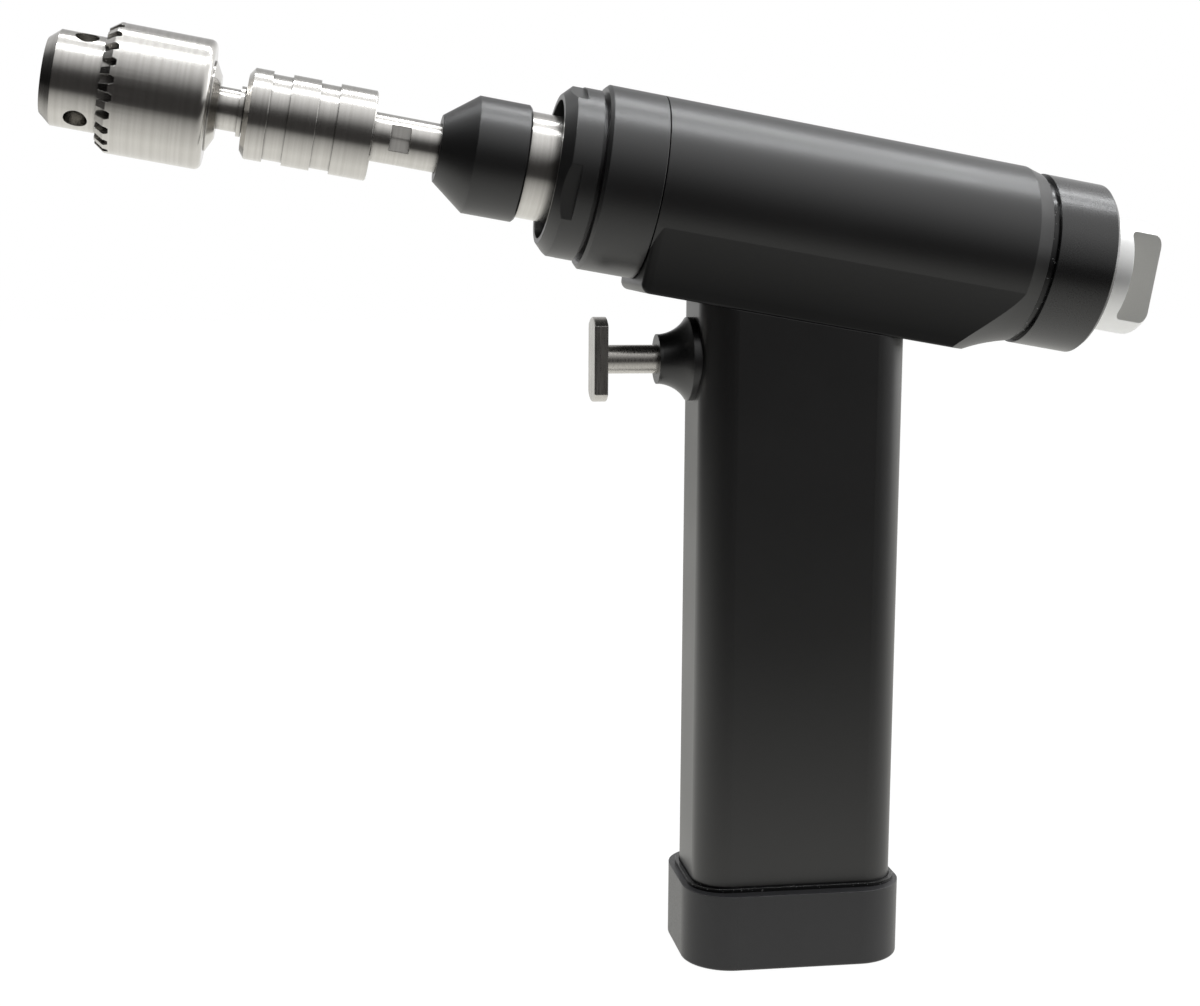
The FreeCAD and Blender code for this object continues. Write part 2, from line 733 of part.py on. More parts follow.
def grouped(label, members, frame=None):
    """One node of several separate solids."""
    group = doc.addObject("Part::Compound", label)
    group.Label = label
    group.Links = members
    return keep(group, frame)


def plain_feature(label, shape, frame):
    """A node whose shape is worked out here from the sheet's sizes."""
    feature = doc.addObject("Part::Feature", label)
    feature.Label = label
    feature.Shape = shape
    feature.Placement = sheet.evalExpression(frame) * shape.Placement
    nodes.append(feature)
    return feature


def coil(radius, wire, length, turns, start):
    """A compression spring about the x axis, of straight-sided turns."""
    steps = 10
    rise = (length - wire) / (turns * steps)
    points = []
    for step in range(turns * steps + 1):
        turn = 2 * math.pi * step / steps
        points.append(Vector(start + wire / 2 + rise * step, radius * math.cos(turn), radius * math.sin(turn)))
    path = Part.makePolygon(points)
    half = wire / 2
    square = [Vector(points[0].x + a * half, radius + b * half, 0) for a, b in ((-1, -1), (1, -1), (1, 1), (-1, 1))]
    return path.makePipeShell([Part.makePolygon(square + square[:1])], True, True, 1)


def involute_point(base, radius):
    """The involute's polar angle at a radius."""
    if radius <= base:
        return 0.0
    pressure = math.acos(base / radius)
    return math.tan(pressure) - pressure


def gear_outline(teeth, outside, root, thinner):
    """Corners of a gear with three points on each flank, first tooth on +z."""
    module = value("gear_module")
    pitch = module * teeth / 2
    base = pitch * math.cos(math.radians(value("pressure_angle")))
    half = math.pi / (2 * teeth) - thinner / (2 * pitch)
    start = half + involute_point(base, pitch)
    radii = [root, (root + pitch) / 2, pitch, (pitch + outside) / 2, outside]
    points = []
    for tooth in range(teeth):
        middle = 2 * math.pi * tooth / teeth
        flank = [(radius, start - involute_point(base, radius)) for radius in radii]
        sides = [(radius, middle - spread) for radius, spread in flank]
        sides += [(radius, middle + spread) for radius, spread in reversed(flank)]
        points += [Vector(0, radius * math.sin(angle), radius * math.cos(angle)) for radius, angle in sides]
    return points


def extruded(points, start, length):
    """A prism of an outline in the plane across x."""
    face = Part.Face(Part.makePolygon(points + points[:1]))
    face.translate(Vector(start, 0, 0))
    return face.extrude(Vector(length, 0, 0))


# Barrel housing

def bracket_screw_circles(radius):
    return [(ahead, across, radius) for ahead in ("front_screw_ahead", "rear_screw_ahead")
            for across in ("bracket_screw_side", "-bracket_screw_side")]


def make_body_shell():
    body = new_body("body_shell", BARREL)
    turned(body, "tube", [
        ("tail_end", "body_bore_radius"),
        ("seam_ahead", "body_bore_radius"),
        ("seam_ahead", "body_radius"),
        ("tail_end", "body_radius"),
    ])
    side = "keel_half_width"
    top = "keel_top_half_width"
    lip = "body_bore_radius"
    padded(body, "keel", "YZ_Plane", [
        (f"-({side})", "-keel_depth"),
        (side, "-keel_depth"),
        (top, "-keel_top_depth"),
        (f"sqrt(({lip} + 0.5) ^ 2 - keel_top_depth ^ 2)", "-keel_top_depth", f"{lip} + 0.5", "left"),
        (f"-sqrt(({lip} + 0.5) ^ 2 - keel_top_depth ^ 2)", "-keel_top_depth"),
        (f"-({top})", "-keel_top_depth"),
    ], "tail_end", "seam_ahead + tail_behind")
    rounded(body, "keel_edges", "keel_edge_radius", lambda edge: (
        edge.BoundBox.XLength > 50 and abs(edge.BoundBox.ZMin + value("keel_depth")) < 0.01
        and edge.BoundBox.YLength < 0.01))
    rounded(body, "keel_corners", "keel_corner_radius", lambda edge: (
        edge.BoundBox.XLength < 0.01 and abs(edge.BoundBox.XMin - value("seam_ahead")) < 0.01
        and edge.BoundBox.ZMin < -value("keel_depth") + 5 and edge.BoundBox.ZLength > 5
        and edge.BoundBox.YLength < 10))
    turned(body, "tail", [
        ("tail_end", "neck_radius"),
        ("tail_end", "tail_cone_radius + 6"),
        ("cone_start", "tail_cone_radius + 6"),
        ("cone_start", "tail_cone_radius", "tail_cone_hollow", "left"),
    ], cut=True)
    padded(body, "screw_holes", "XY_Plane", (), "-keel_depth", "bracket_screw_grip", cut=True,
           circles=bracket_screw_circles("bracket_screw_radius"))
    padded(body, "lead_hole", "XY_Plane", (), "-keel_depth", "keel_depth - body_bore_radius + 1",
           cut=True, circles=[("-lead_behind", "0", "lead_hole_radius")])
    return body


def make_nose():
    body = new_body("nose_housing", BARREL)
    turned(body, "shape", [
        ("spigot_rear", "bearing_pocket_radius"),
        ("spigot_rear", "insert_radius"),
        ("seam_ahead + seam_gap", "insert_radius"),
        ("seam_ahead + seam_gap", "body_radius"),
        ("nose_front - nose_chamfer", "body_radius"),
        ("nose_front", "body_radius - nose_chamfer"),
        ("nose_front", "boss_radius"),
        ("boss_front", "boss_radius"),
        ("boss_front", "nut_opening_radius"),
        ("front_bearing_front", "nut_opening_radius"),
        ("front_bearing_front", "bearing_pocket_radius"),
        ("front_bearing_rear", "bearing_pocket_radius"),
        ("front_bearing_rear", "nose_bore_radius"),
        ("rear_bearing_front", "nose_bore_radius"),
        ("rear_bearing_front", "bearing_pocket_radius"),
    ])
    rings = []
    for name, rear, front in (("rear", "rear_bearing_rear", "rear_bearing_front"),
                              ("front", "front_bearing_rear", "front_bearing_front")):
        rings.append(doc.addObject("PartDesign::Body", f"spindle_bearing_{name}"))
        turned(rings[-1], "ring", annulus(rear, front, "bearing_bore_radius", "bearing_radius"))
    grouped("spindle_bearings", rings, BARREL)
    seal = new_body("front_seal", BARREL)
    turned(seal, "ring", annulus("front_bearing_front", "front_bearing_front + front_seal_width",
                                 "seal_bore_radius", "nut_opening_radius - fit_gap"))


def annulus(rear, front, inner, outer):
    """Outline of a plain ring."""
    return [(rear, inner), (front, inner), (front, outer), (rear, outer)]


def make_lock_nut():
    body = new_body("lock_nut", BARREL)
    turned(body, "shape", [
        ("nut_rear", "boss_radius + fit_gap"),
        ("nut_rear", "nut_radius"),
        ("nut_front - nut_bevel", "nut_radius"),
        ("nut_front", "nut_radius - nut_bevel"),
        ("nut_front", "nut_opening_radius"),
        ("nut_front - nut_wall", "nut_opening_radius"),
        ("nut_front - nut_wall", "boss_radius + fit_gap"),
    ])
    radial_cut(body, "flat", "flat_angle", "nut_radius - flat_depth", "flat_depth + 3", corners=[
        ("nut_front - flat_length", "-nut_radius"),
        ("nut_front + 1", "-nut_radius"),
        ("nut_front + 1", "nut_radius"),
        ("nut_front - flat_length", "nut_radius"),
    ], count="flat_count")


# Spindle with its release collar

def make_spindle():
    body = new_body("spindle", BARREL)
    turned(body, "shape", [
        ("carrier_rear", "0"),
        ("carrier_rear", "spindle_stub_radius"),
        ("carrier_front", "spindle_stub_radius"),
        ("carrier_front", "journal_radius"),
        ("output_rear", "journal_radius"),
        ("output_rear", "output_radius"),
        ("output_front", "output_radius"),
        ("output_front", "output_radius - output_wall"),
        ("spring_pocket_rear", "output_radius - output_wall"),
        ("spring_pocket_rear", "socket_nose_radius"),
        ("socket_front", "socket_nose_radius"),
        ("socket_front", "socket_radius"),
        ("socket_rear", "socket_radius"),
        ("socket_rear", "0"),
    ])
    radial_cut(body, "ball_hole", "30", "0", "socket_nose_radius + 1",
               circles=[("lock_ball_ahead", "0", "lock_ball_radius + fit_gap")], count="ball_count")
    make_balls("lock_balls", "lock_ball_ahead", "lock_ball_orbit", "lock_ball_radius", 30)


def make_balls(label, along, orbit, radius, first_angle):
    balls = []
    count = int(value("ball_count"))
    for index in range(count):
        ball = doc.addObject("Part::Sphere", f"{label}_{index + 1}")
        angle = f"{first_angle} + {index} * 360 / {count}"
        balls.append(in_place(ball, Radius=radius, along=along,
                              across=f"{orbit} * cos({angle})", up=f"{orbit} * sin({angle})"))
    grouped(label, balls, BARREL)


def make_collar():
    body = new_body("release_collar", BARREL)
    turned(body, "shape", [
        ("collar_rear", "collar_bore_radius"),
        ("collar_rear", "collar_radius - collar_chamfer"),
        ("collar_rear + collar_chamfer", "collar_radius"),
        ("collar_cone_rear", "collar_radius"),
        ("collar_front", "collar_tip_radius"),
        ("collar_front", "collar_tip_bore"),
        ("collar_recess_front", "collar_tip_bore"),
        ("collar_recess_front", "collar_recess_radius"),
        ("collar_land_front", "collar_recess_radius"),
        ("collar_land_front", "collar_land_radius"),
        ("collar_land_rear", "collar_land_radius"),
        ("collar_land_rear", "collar_bore_radius"),
    ])
    plain_feature("collar_spring", coil(
        value("collar_spring_radius"), value("collar_spring_wire"),
        value("collar_spring_length"), 4, value("spring_pocket_rear + spring_end_gap")), BARREL)


# Adapter, quick coupling and arbor

def make_adapter():
    body = new_body("adapter_shank", BARREL)
    groove = "lock_ball_radius + fit_gap"
    turned(body, "shape", [
        ("shank_rear", "0"),
        ("shank_rear", "shank_radius"),
        (f"lock_ball_ahead - {groove}", "shank_radius"),
        (f"lock_ball_ahead - {groove}", "ball_groove_radius"),
        (f"lock_ball_ahead + {groove}", "ball_groove_radius"),
        (f"lock_ball_ahead + {groove}", "shank_radius"),
        ("coupling_body_rear", "shank_radius"),
        ("coupling_body_rear", "flange_radius"),
        ("flange_front", "flange_radius"),
        ("flange_front", "neck_shaft_radius"),
        ("head_start", "neck_shaft_radius"),
        ("head_start", "head_radius"),
        ("head_front", "head_radius"),
        ("head_front", "arbor_hole_radius"),
        ("arbor_hole_rear", "arbor_hole_radius"),
        ("arbor_hole_rear", "0"),
    ])
    radial_cut(body, "notch", "notch_angle", "shank_radius - notch_depth", "notch_depth + 1", corners=[
        ("notch_ahead - notch_length / 2", "-shank_radius"),
        ("notch_ahead + notch_length / 2", "-shank_radius"),
        ("notch_ahead + notch_length / 2", "shank_radius"),
        ("notch_ahead - notch_length / 2", "shank_radius"),
    ], count="notch_count")
    radial_cut(body, "ball_hole", "30", "0", "head_radius + 1",
               circles=[("coupling_ball_place", "0", "coupling_ball_radius + fit_gap")], count="ball_count")
    make_balls("coupling_balls", "coupling_ball_place", "coupling_ball_orbit", "coupling_ball_radius", 30)


def make_coupling_sleeve():
    body = new_body("coupling_sleeve", BARREL)
    ring = "coupling_ring_radius"
    groove = "coupling_groove_radius"
    turned(body, "shape", [
        ("coupling_rear_ahead", "coupling_bore_radius"),
        ("coupling_rear_ahead", f"{ring} - coupling_rear_chamfer"),
        ("coupling_rear_ahead + coupling_rear_chamfer", ring),
        ("ring_1_front", ring),
        ("ring_1_front", groove),
        ("ring_2_rear", groove),
        ("ring_2_rear", ring),
        ("ring_2_front", ring),
        ("ring_2_front", groove),
        ("ring_3_rear", groove),
        ("ring_3_rear", ring),
        ("ring_3_front", ring),
        ("coupling_front", "coupling_rim_radius"),
        ("coupling_front", "head_bore_radius"),
        ("recess_front", "head_bore_radius"),
        ("recess_front", "coupling_bore_radius"),
        ("land_front", "coupling_bore_radius"),
        ("land_front", "head_bore_radius"),
        ("land_rear", "head_bore_radius"),
        ("land_rear", "coupling_bore_radius"),
    ])
    plain_feature("coupling_spring", coil(
        value("coupling_spring_radius"), value("coupling_spring_wire"),
        value("land_rear - flange_front - 4 * spring_end_gap"), 4, value("flange_front + spring_end_gap")), BARREL)


def make_arbor():
    body = new_body("chuck_arbor", BARREL)
    groove = "coupling_ball_radius + fit_gap"
    turned(body, "shape", [
        ("arbor_rear", "0"),
        ("arbor_rear", "arbor_radius"),
        (f"coupling_ball_place - {groove}", "arbor_radius"),
        (f"coupling_ball_place - {groove}", "arbor_groove_radius"),
        (f"coupling_ball_place + {groove}", "arbor_groove_radius"),
        (f"coupling_ball_place + {groove}", "arbor_radius"),
        ("arbor_ring_rear", "arbor_radius"),
        ("arbor_ring_rear", "arbor_ring_radius"),
        ("arbor_ring_front", "arbor_ring_radius"),
        ("arbor_ring_front", "arbor_radius"),
        ("chuck_rear_ahead", "arbor_radius"),
        ("chuck_rear_ahead", "arbor_thread_radius"),
        ("arbor_front", "arbor_thread_radius"),
        ("arbor_front", "0"),
    ])


# Keyed three-jaw chuck

def make_chuck_body():
    turned_body = doc.addObject("PartDesign::Body", "chuck_blank")
    turned(turned_body, "shape", [
        ("chuck_rear_ahead", "arbor_thread_radius + fit_gap"),
        ("chuck_rear_ahead", "chuck_tail_radius"),
        ("chuck_back_rear", "chuck_back_radius"),
        ("nut_slot_rear", "chuck_back_radius"),
        ("nut_slot_rear", "nut_slot_radius"),
        ("nut_slot_front", "nut_slot_radius"),
        ("nut_slot_front", "chuck_nose_radius"),
        ("chuck_bevel_rear", "chuck_nose_radius"),
        ("chuck_front", "chuck_rim_radius"),
        ("chuck_front", "chuck_mouth_radius"),
        ("mouth_rear", "chuck_mouth_radius"),
        ("mouth_rear", "0"),
        ("arbor_front + arbor_thread_gap", "0"),
        ("arbor_front + arbor_thread_gap", "arbor_thread_radius + fit_gap"),
    ])
    radial_cut(turned_body, "key_hole", "key_hole_angle", "key_hole_floor", "key_hole_depth + 1",
               circles=[("key_hole_ahead", "0", "key_hole_radius")], count="key_hole_count")
    holes = [jaw_rod(index, "jaw_hole", "jaw_hole_radius", "jaw_length + jaw_travel + 2", "2")
             for index in range(int(value("jaw_count")))]
    drilled = doc.addObject("Part::MultiFuse", "jaw_holes")
    drilled.Shapes = holes
    body = doc.addObject("Part::Cut", "chuck_body")
    body.Base = turned_body
    body.Tool = drilled
    keep(body, BARREL)


def jaw_rod(index, name, radius, length, ahead):
    """A rod along one jaw's sloping way, starting a little ahead of the tip."""
    rod = doc.addObject("Part::Cylinder", f"{name}_{index + 1}")
    count = int(value("jaw_count"))
    turn = f"{bound('jaw_angle')} + {index} * 360 / {count}"
    slope = bound("jaw_slope")
    orbit = f"({bound('jaw_tip_orbit')} - ({bound(ahead)}) * tan({slope}))"
    rod.setExpression("Radius", bound(radius))
    rod.setExpression("Height", bound(f"({length} + {ahead}) / cos(jaw_slope)"))
    rod.setExpression("Placement", (
        f"create(<<placement>>; create(<<vector>>; {bound('jaw_tip')} + {bound(ahead)}; "
        f"{orbit} * cos({turn}); {orbit} * sin({turn})); "
        f"create(<<rotation>>; create(<<vector>>; 1; 0; 0); {turn} - 90) * "
        f"create(<<rotation>>; create(<<vector>>; 0; 1; 0); -90 + {slope}))"))
    return rod


def make_jaw(index):
    """One jaw: a rod cut to a 120 degree wedge, a flat tip and a round grip."""
    name = f"chuck_jaw_{index + 1}"
    rod = jaw_rod(index, f"{name}_rod", "jaw_radius", "jaw_length", "2")
    count = int(value("jaw_count"))
    turn = f"{bound('jaw_angle')} + {index} * 360 / {count}"
    wedge = doc.addObject("Part::Cylinder", f"{name}_wedge")
    wedge.Angle = 120
    wedge.setExpression("Radius", bound("chuck_nose_radius"))
    wedge.setExpression("Height", bound("jaw_length + jaw_radius"))
    wedge.setExpression("Placement", (
        f"create(<<placement>>; create(<<vector>>; {bound('jaw_tip - jaw_length - jaw_radius')}; "
        f"{bound('jaw_gap')} * cos({turn}); {bound('jaw_gap')} * sin({turn})); "
        f"create(<<rotation>>; create(<<vector>>; 1; 0; 0); {turn} - 60) * "
        f"create(<<rotation>>; create(<<vector>>; 0; 1; 0); 90) * "
        f"create(<<rotation>>; create(<<vector>>; 0; 0; 1); 90))"))
    shaped = doc.addObject("Part::Common", f"{name}_shape")
    shaped.Base = rod
    shaped.Tool = wedge
    grip = doc.addObject("Part::Cylinder", f"{name}_grip")
    grip.setExpression("Radius", bound("jaw_grip_radius"))
    grip.setExpression("Height", bound("2 * jaw_length"))
    grip.setExpression("Placement", (
        f"create(<<placement>>; create(<<vector>>; {bound('jaw_tip - 1.5 * jaw_length')}; 0; 0); "
        f"create(<<rotation>>; create(<<vector>>; 0; 1; 0); 90))"))
    jaw = doc.addObject("Part::Cut", name)
    jaw.Base = shaped
    jaw.Tool = grip
    keep(jaw, BARREL)


def make_chuck_sleeve():
    body = new_body("chuck_sleeve", BARREL)
    turned(body, "shape", [
        ("sleeve_rear", "chuck_back_radius + fit_gap"),
        ("sleeve_rear", "sleeve_radius"),
        ("sleeve_bevel_rear", "sleeve_radius"),
        ("sleeve_front", "sleeve_face_radius"),
        ("sleeve_front", "sleeve_bore_radius"),
        ("sleeve_wall_front", "sleeve_bore_radius"),
        ("sleeve_wall_front", "chuck_back_radius + fit_gap"),
    ])
    rounded(body, "rear_edge", "sleeve_rear_round", ring_at("sleeve_rear", "sleeve_radius"))
    tip = "sleeve_front - tooth_gap_length"
    radial_cut(body, "tooth_gap", "tooth_gap_angle", "tooth_floor_radius",
               "sleeve_radius - tooth_floor_radius + 1", corners=[
                   ("sleeve_front + 0.5", "-tooth_gap_width / 2"),
                   ("sleeve_front + 0.5", "tooth_gap_width / 2"),
                   (f"{tip} + 0.8", "tooth_gap_width / 2"),
                   (tip, "tooth_gap_tip / 2"),
                   (tip, "-tooth_gap_tip / 2"),
                   (f"{tip} + 0.8", "-tooth_gap_width / 2"),
               ], count="tooth_count")
    nut = new_body("chuck_nut", BARREL)
    turned(nut, "shape", [
        ("chuck_nut_rear", "chuck_nut_rear_bore"),
        ("chuck_nut_front", "chuck_nut_front_bore"),
        ("chuck_nut_front", "sleeve_bore_radius - fit_gap"),
        ("chuck_nut_rear", "sleeve_bore_radius - fit_gap"),
    ])


# Planetary gearbox

def make_gearbox():
    module = value("gear_module")
    backlash = value("gear_backlash")
    gap = value("fit_gap")
    sun_teeth = int(value("sun_teeth"))
    planet_teeth = int(value("planet_teeth"))
    ring_teeth = int(value("ring_teeth"))
    sun_pitch = module * sun_teeth / 2
    planet_pitch = module * planet_teeth / 2
    ring_pitch = module * ring_teeth / 2

    outline = gear_outline(sun_teeth, sun_pitch + module, sun_pitch - 1.2 * module, backlash)
    length = value("sun_front - sun_rear")
    pinion = extruded(outline, value("sun_rear"), length)
    bore = Part.makeCylinder(value("motor_shaft_radius") + gap, length,
                             Vector(value("sun_rear"), 0, 0), Vector(1, 0, 0))
    plain_feature("sun_gear", pinion.cut(bore), BARREL)

    outline = gear_outline(planet_teeth, planet_pitch + module, planet_pitch - 1.2 * module, backlash)
    half_tooth = 180 / planet_teeth
    count = int(value("planet_count"))
    pins = []
    for index in range(count):
        angle = 360 * index / count
        planet = extruded(outline, value("planet_rear"), value("planet_width"))
        planet = planet.cut(Part.makeCylinder(value("planet_pin_radius") + gap, value("planet_width"),
                                              Vector(value("planet_rear"), 0, 0), Vector(1, 0, 0)))
        planet.rotate(Vector(), Vector(1, 0, 0), half_tooth)
        planet.translate(Vector(0, 0, value("planet_orbit")))
        planet.rotate(Vector(), Vector(1, 0, 0), angle)
        plain_feature(f"planet_gear_{index + 1}", planet, BARREL)
        pin = doc.addObject("Part::Cylinder", f"planet_pin_{index + 1}")
        turn = f"90 + {index} * 360 / {count}"
        pin.setExpression("Radius", bound("planet_pin_radius"))
        pin.setExpression("Height", bound("carrier_front - planet_rear + pin_head_length"))
        pin.setExpression("Placement", (
            f"create(<<placement>>; create(<<vector>>; {bound('planet_rear - pin_head_length')}; "
            f"{bound('planet_orbit')} * cos({turn}); {bound('planet_orbit')} * sin({turn})); "
            "create(<<rotation>>; create(<<vector>>; 0; 1; 0); 90))"))
        pins.append(pin)
    grouped("planet_pins", pins, BARREL)

    carrier = new_body("planet_carrier", BARREL)
    turned(carrier, "disc", annulus("carrier_rear", "carrier_front", "spindle_stub_radius + fit_gap", "carrier_radius"))
    hole = padded(carrier, "pin_hole", "YZ_Plane", (), "carrier_rear - 1", "carrier_width + 2", cut=True,
                  circles=[("0", "planet_orbit", "planet_pin_radius + fit_gap / 2")])
    around(carrier, hole, "planet_count")

    outline = gear_outline(ring_teeth, ring_pitch + 1.2 * module, ring_pitch - module, -backlash)
    length = value("ring_length")
    blank = Part.makeCylinder(value("insert_radius"), length, Vector(value("ring_rear"), 0, 0), Vector(1, 0, 0))
    hollow = extruded(outline, value("ring_rear"), length)
    hollow.rotate(Vector(), Vector(1, 0, 0), 180 / ring_teeth)
    plain_feature("ring_gear", blank.cut(hollow), BARREL)
    spacer = new_body("gear_spacer", BARREL)
    turned(spacer, "ring", annulus("ring_front", "spigot_rear", "insert_radius - spacer_wall", "insert_radius"))


# Motor

def make_motor():
    plate = new_body("motor_front_plate", BARREL)
    turned(plate, "disc", annulus("plate_rear", "ring_rear", "motor_bearing_radius + fit_gap", "insert_radius"))
    can = new_body("motor_can", BARREL)
    turned(can, "tube", annulus("can_rear", "plate_rear", "can_bore_radius", "insert_radius"))
    bell = new_body("motor_end_bell", BARREL)
    turned(bell, "disc", annulus("bell_rear", "can_rear", "motor_bearing_radius + fit_gap", "insert_radius"))
    rings = []
    for name, rear, front in (("rear", "bell_rear", "can_rear"), ("front", "plate_rear", "ring_rear")):
        rings.append(doc.addObject("PartDesign::Body", f"motor_bearing_{name}"))
        turned(rings[-1], "ring", annulus(rear, front, "motor_bore_radius", "motor_bearing_radius"))
    grouped("motor_bearings", rings, BARREL)
    magnets = []
    for index in range(2):
        magnets.append(tube_sector(f"magnet_{index + 1}", index))
    grouped("motor_magnets", magnets, BARREL)

    shaft = new_body("motor_shaft", BARREL)
    turned(shaft, "rod", [
        ("motor_shaft_rear", "0"),
        ("sun_front", "0"),
        ("sun_front", "motor_shaft_radius"),
        ("motor_shaft_rear", "motor_shaft_radius"),
    ])
    core = new_body("rotor_core", BARREL)
    turned(core, "stack", annulus("rotor_rear", "rotor_front", "motor_shaft_radius + fit_gap", "rotor_radius"))
    slot = radial_cut(core, "slot", "90", "rotor_radius - rotor_slot_depth", "rotor_slot_depth + 1", corners=[
        ("rotor_rear - 1", "-rotor_slot_width / 2"),
        ("rotor_front + 1", "-rotor_slot_width / 2"),
        ("rotor_front + 1", "rotor_slot_width / 2"),
        ("rotor_rear - 1", "rotor_slot_width / 2"),
    ], count="rotor_slots")
    slot.Refine = True
    commutator = new_body("commutator", BARREL)
    turned(commutator, "ring", annulus("commutator_rear", "commutator_rear + commutator_length",
                                       "motor_shaft_radius + fit_gap", "commutator_radius"))
    holder = new_body("brush_holder", BARREL)
    turned(holder, "disc", annulus("brush_holder_rear", "brush_holder_front",
                                   "commutator_radius + brush_ring_gap", "can_bore_radius - fit_gap"))
    radial_cut(holder, "brush_slot", "0", "0", "commutator_radius + brush_length + brush_end_gap", corners=[
        ("brush_holder_front - brush_side - brush_ring_gap", "-brush_side / 2 - fit_gap"),
        ("brush_holder_front + 1", "-brush_side / 2 - fit_gap"),
        ("brush_holder_front + 1", "brush_side / 2 + fit_gap"),
        ("brush_holder_front - brush_side - brush_ring_gap", "brush_side / 2 + fit_gap"),
    ], count="2")
    brushes = []
    for side in (1, -1):
        brush = doc.addObject("Part::Box", f"brush_{'left' if side > 0 else 'right'}")
        start = "commutator_radius + fit_gap" if side > 0 else "-(commutator_radius + fit_gap + brush_length)"
        in_place(brush, Length="brush_side", Width="brush_length", Height="brush_side",
                 along="brush_holder_front - brush_side - brush_end_gap", across=start, up="-brush_side / 2")
        brushes.append(brush)
    grouped("motor_brushes", brushes, BARREL)


def tube_sector(name, index):
    """A curved magnet lying against the can's wall."""
    outer = doc.addObject("Part::Cylinder", f"{name}_outer")
    inner = doc.addObject("Part::Cylinder", f"{name}_inner")
    for cylinder, radius in ((outer, "can_bore_radius - fit_gap"), (inner, "can_bore_radius - magnet_thickness")):
        cylinder.setExpression("Angle", bound("magnet_angle"))
        cylinder.setExpression("Radius", bound(radius))
        cylinder.setExpression("Height", bound("magnet_length"))
        cylinder.setExpression("Placement", (
            f"create(<<placement>>; create(<<vector>>; {bound('magnet_rear')}; 0; 0); "
            f"create(<<rotation>>; create(<<vector>>; 1; 0; 0); {index} * 180 - {bound('magnet_angle')} / 2) * "
            "create(<<rotation>>; create(<<vector>>; 0; 1; 0); 90))"))
    magnet = doc.addObject("Part::Cut", name)
    magnet.Base = outer
    magnet.Tool = inner
    return magnet


# Rear cap, selector knob and switch

def make_rear():
    cap = new_body("rear_cap", BARREL)
    turned(cap, "cup", [
        ("cap_spigot_front", "cap_bore_radius"),
        ("cap_spigot_front", "insert_radius"),
        ("cap_front", "insert_radius"),
        ("cap_front", "cap_radius"),
        ("cap_rear + cap_chamfer", "cap_radius"),
        ("cap_rear", "cap_radius - cap_chamfer"),
        ("cap_rear", "cap_hole_radius"),
        ("cap_floor_front", "cap_hole_radius"),
        ("cap_floor_front", "cap_bore_radius"),
    ])
    seal = new_body("rear_seal", BARREL)
    turned(seal, "ring", annulus("cap_front", "tail_end", "insert_radius + fit_gap", "rear_seal_radius"))
    switch = new_body("selector_switch", BARREL)
    turned(switch, "drum", annulus("cap_floor_front", "selector_front", "cap_hole_radius", "selector_radius"))
    knob = new_body("mode_knob", BARREL)
    turned(knob, "shape", [
        ("knob_rear", "0"),
        ("knob_rear", "knob_radius"),
        ("knob_front", "knob_radius"),
        ("knob_front", "knob_shaft_radius"),
        ("knob_shaft_front", "knob_shaft_radius"),
        ("knob_shaft_front", "0"),
    ])
    rounded(knob, "rear_edge", "knob_round", ring_at("knob_rear", "knob_radius"))
    radial_cut(knob, "flat", "0", "knob_flat_half", "knob_radius", corners=[
        ("knob_rear - 1", "knob_flat_half_height"),
        ("knob_flat_front - knob_flat_corner", "knob_flat_half_height", "knob_flat_corner", "left"),
        ("knob_flat_front", "knob_flat_half_height - knob_flat_corner"),
        ("knob_flat_front", "-(knob_flat_half_height - knob_flat_corner)", "knob_flat_corner", "left"),
        ("knob_flat_front - knob_flat_corner", "-knob_flat_half_height"),
        ("knob_rear - 1", "-knob_flat_half_height"),
    ], count="2")


# Handle

def slanted_cut(body, name, drop, above):
    """Cut a body away above or below a plane parallel to the barrel's axis."""
    sketch = new_sketch(body, name, "XZ_Plane")
    reach = "2 * handle_depth"
    far = "2 * axis_height" if above else "0"
    draw_loop(sketch, [
        (f"-{reach}", f"axis_height + {reach} * tan(barrel_tilt) - {drop}"),
        (f"-{reach}", far),
        (reach, far),
        (reach, f"axis_height - {reach} * tan(barrel_tilt) - {drop}"),
    ])
    feature = body.newObject("PartDesign::Pocket", f"{body.Name}_{name}_cut")
    feature.Profile = sketch
    feature.setExpression("Length", bound("2 * handle_depth"))
    feature.Midplane = True
    return feature


def make_handle():
    tube = new_body("handle_tube")
    outer = rounded_rectangle("handle_centre", "handle_depth", "handle_width", "handle_corner")
    inner = rounded_rectangle("handle_centre", "handle_inner_depth", "handle_inner_width", "handle_inner_corner")
    height = "axis_height - handle_bottom"
    padded(tube, "outer", "XY_Plane", outer, "handle_bottom", height)
    padded(tube, "inner", "XY_Plane", inner, "handle_bottom - 1", f"{height} + 2", cut=True)
    slanted_cut(tube, "top", "keel_drop", True)
    padded(tube, "guide_hole", "YZ_Plane", (), "-handle_face - 1", "handle_wall + 4", cut=True,
           circles=[("0", "trigger_height", "guide_boss_radius + guide_hole_gap")])

    bracket = doc.addObject("PartDesign::Body", "bracket_blank")
    block = rounded_rectangle("handle_centre", "bracket_depth", "bracket_width", "bracket_corner")
    padded(bracket, "block", "XY_Plane", block, "board_height", "axis_height - board_height")
    slanted_cut(bracket, "top", "keel_drop", True)
    slanted_cut(bracket, "bottom", "bracket_drop", False)
    tools = []
    for ahead, across, radius in bracket_screw_circles("bracket_screw_radius") + [
            ("-lead_behind", "0", "lead_hole_radius")]:
        tool = doc.addObject("Part::Cylinder", f"bracket_drill_{len(tools) + 1}")
        tools.append(in_place(tool, Radius=radius, Height="3 * bracket_thickness", along=ahead, across=across,
                              up="-(keel_depth + 2 * bracket_thickness)"))
    drilled("handle_bracket", bracket, tools, BARREL)


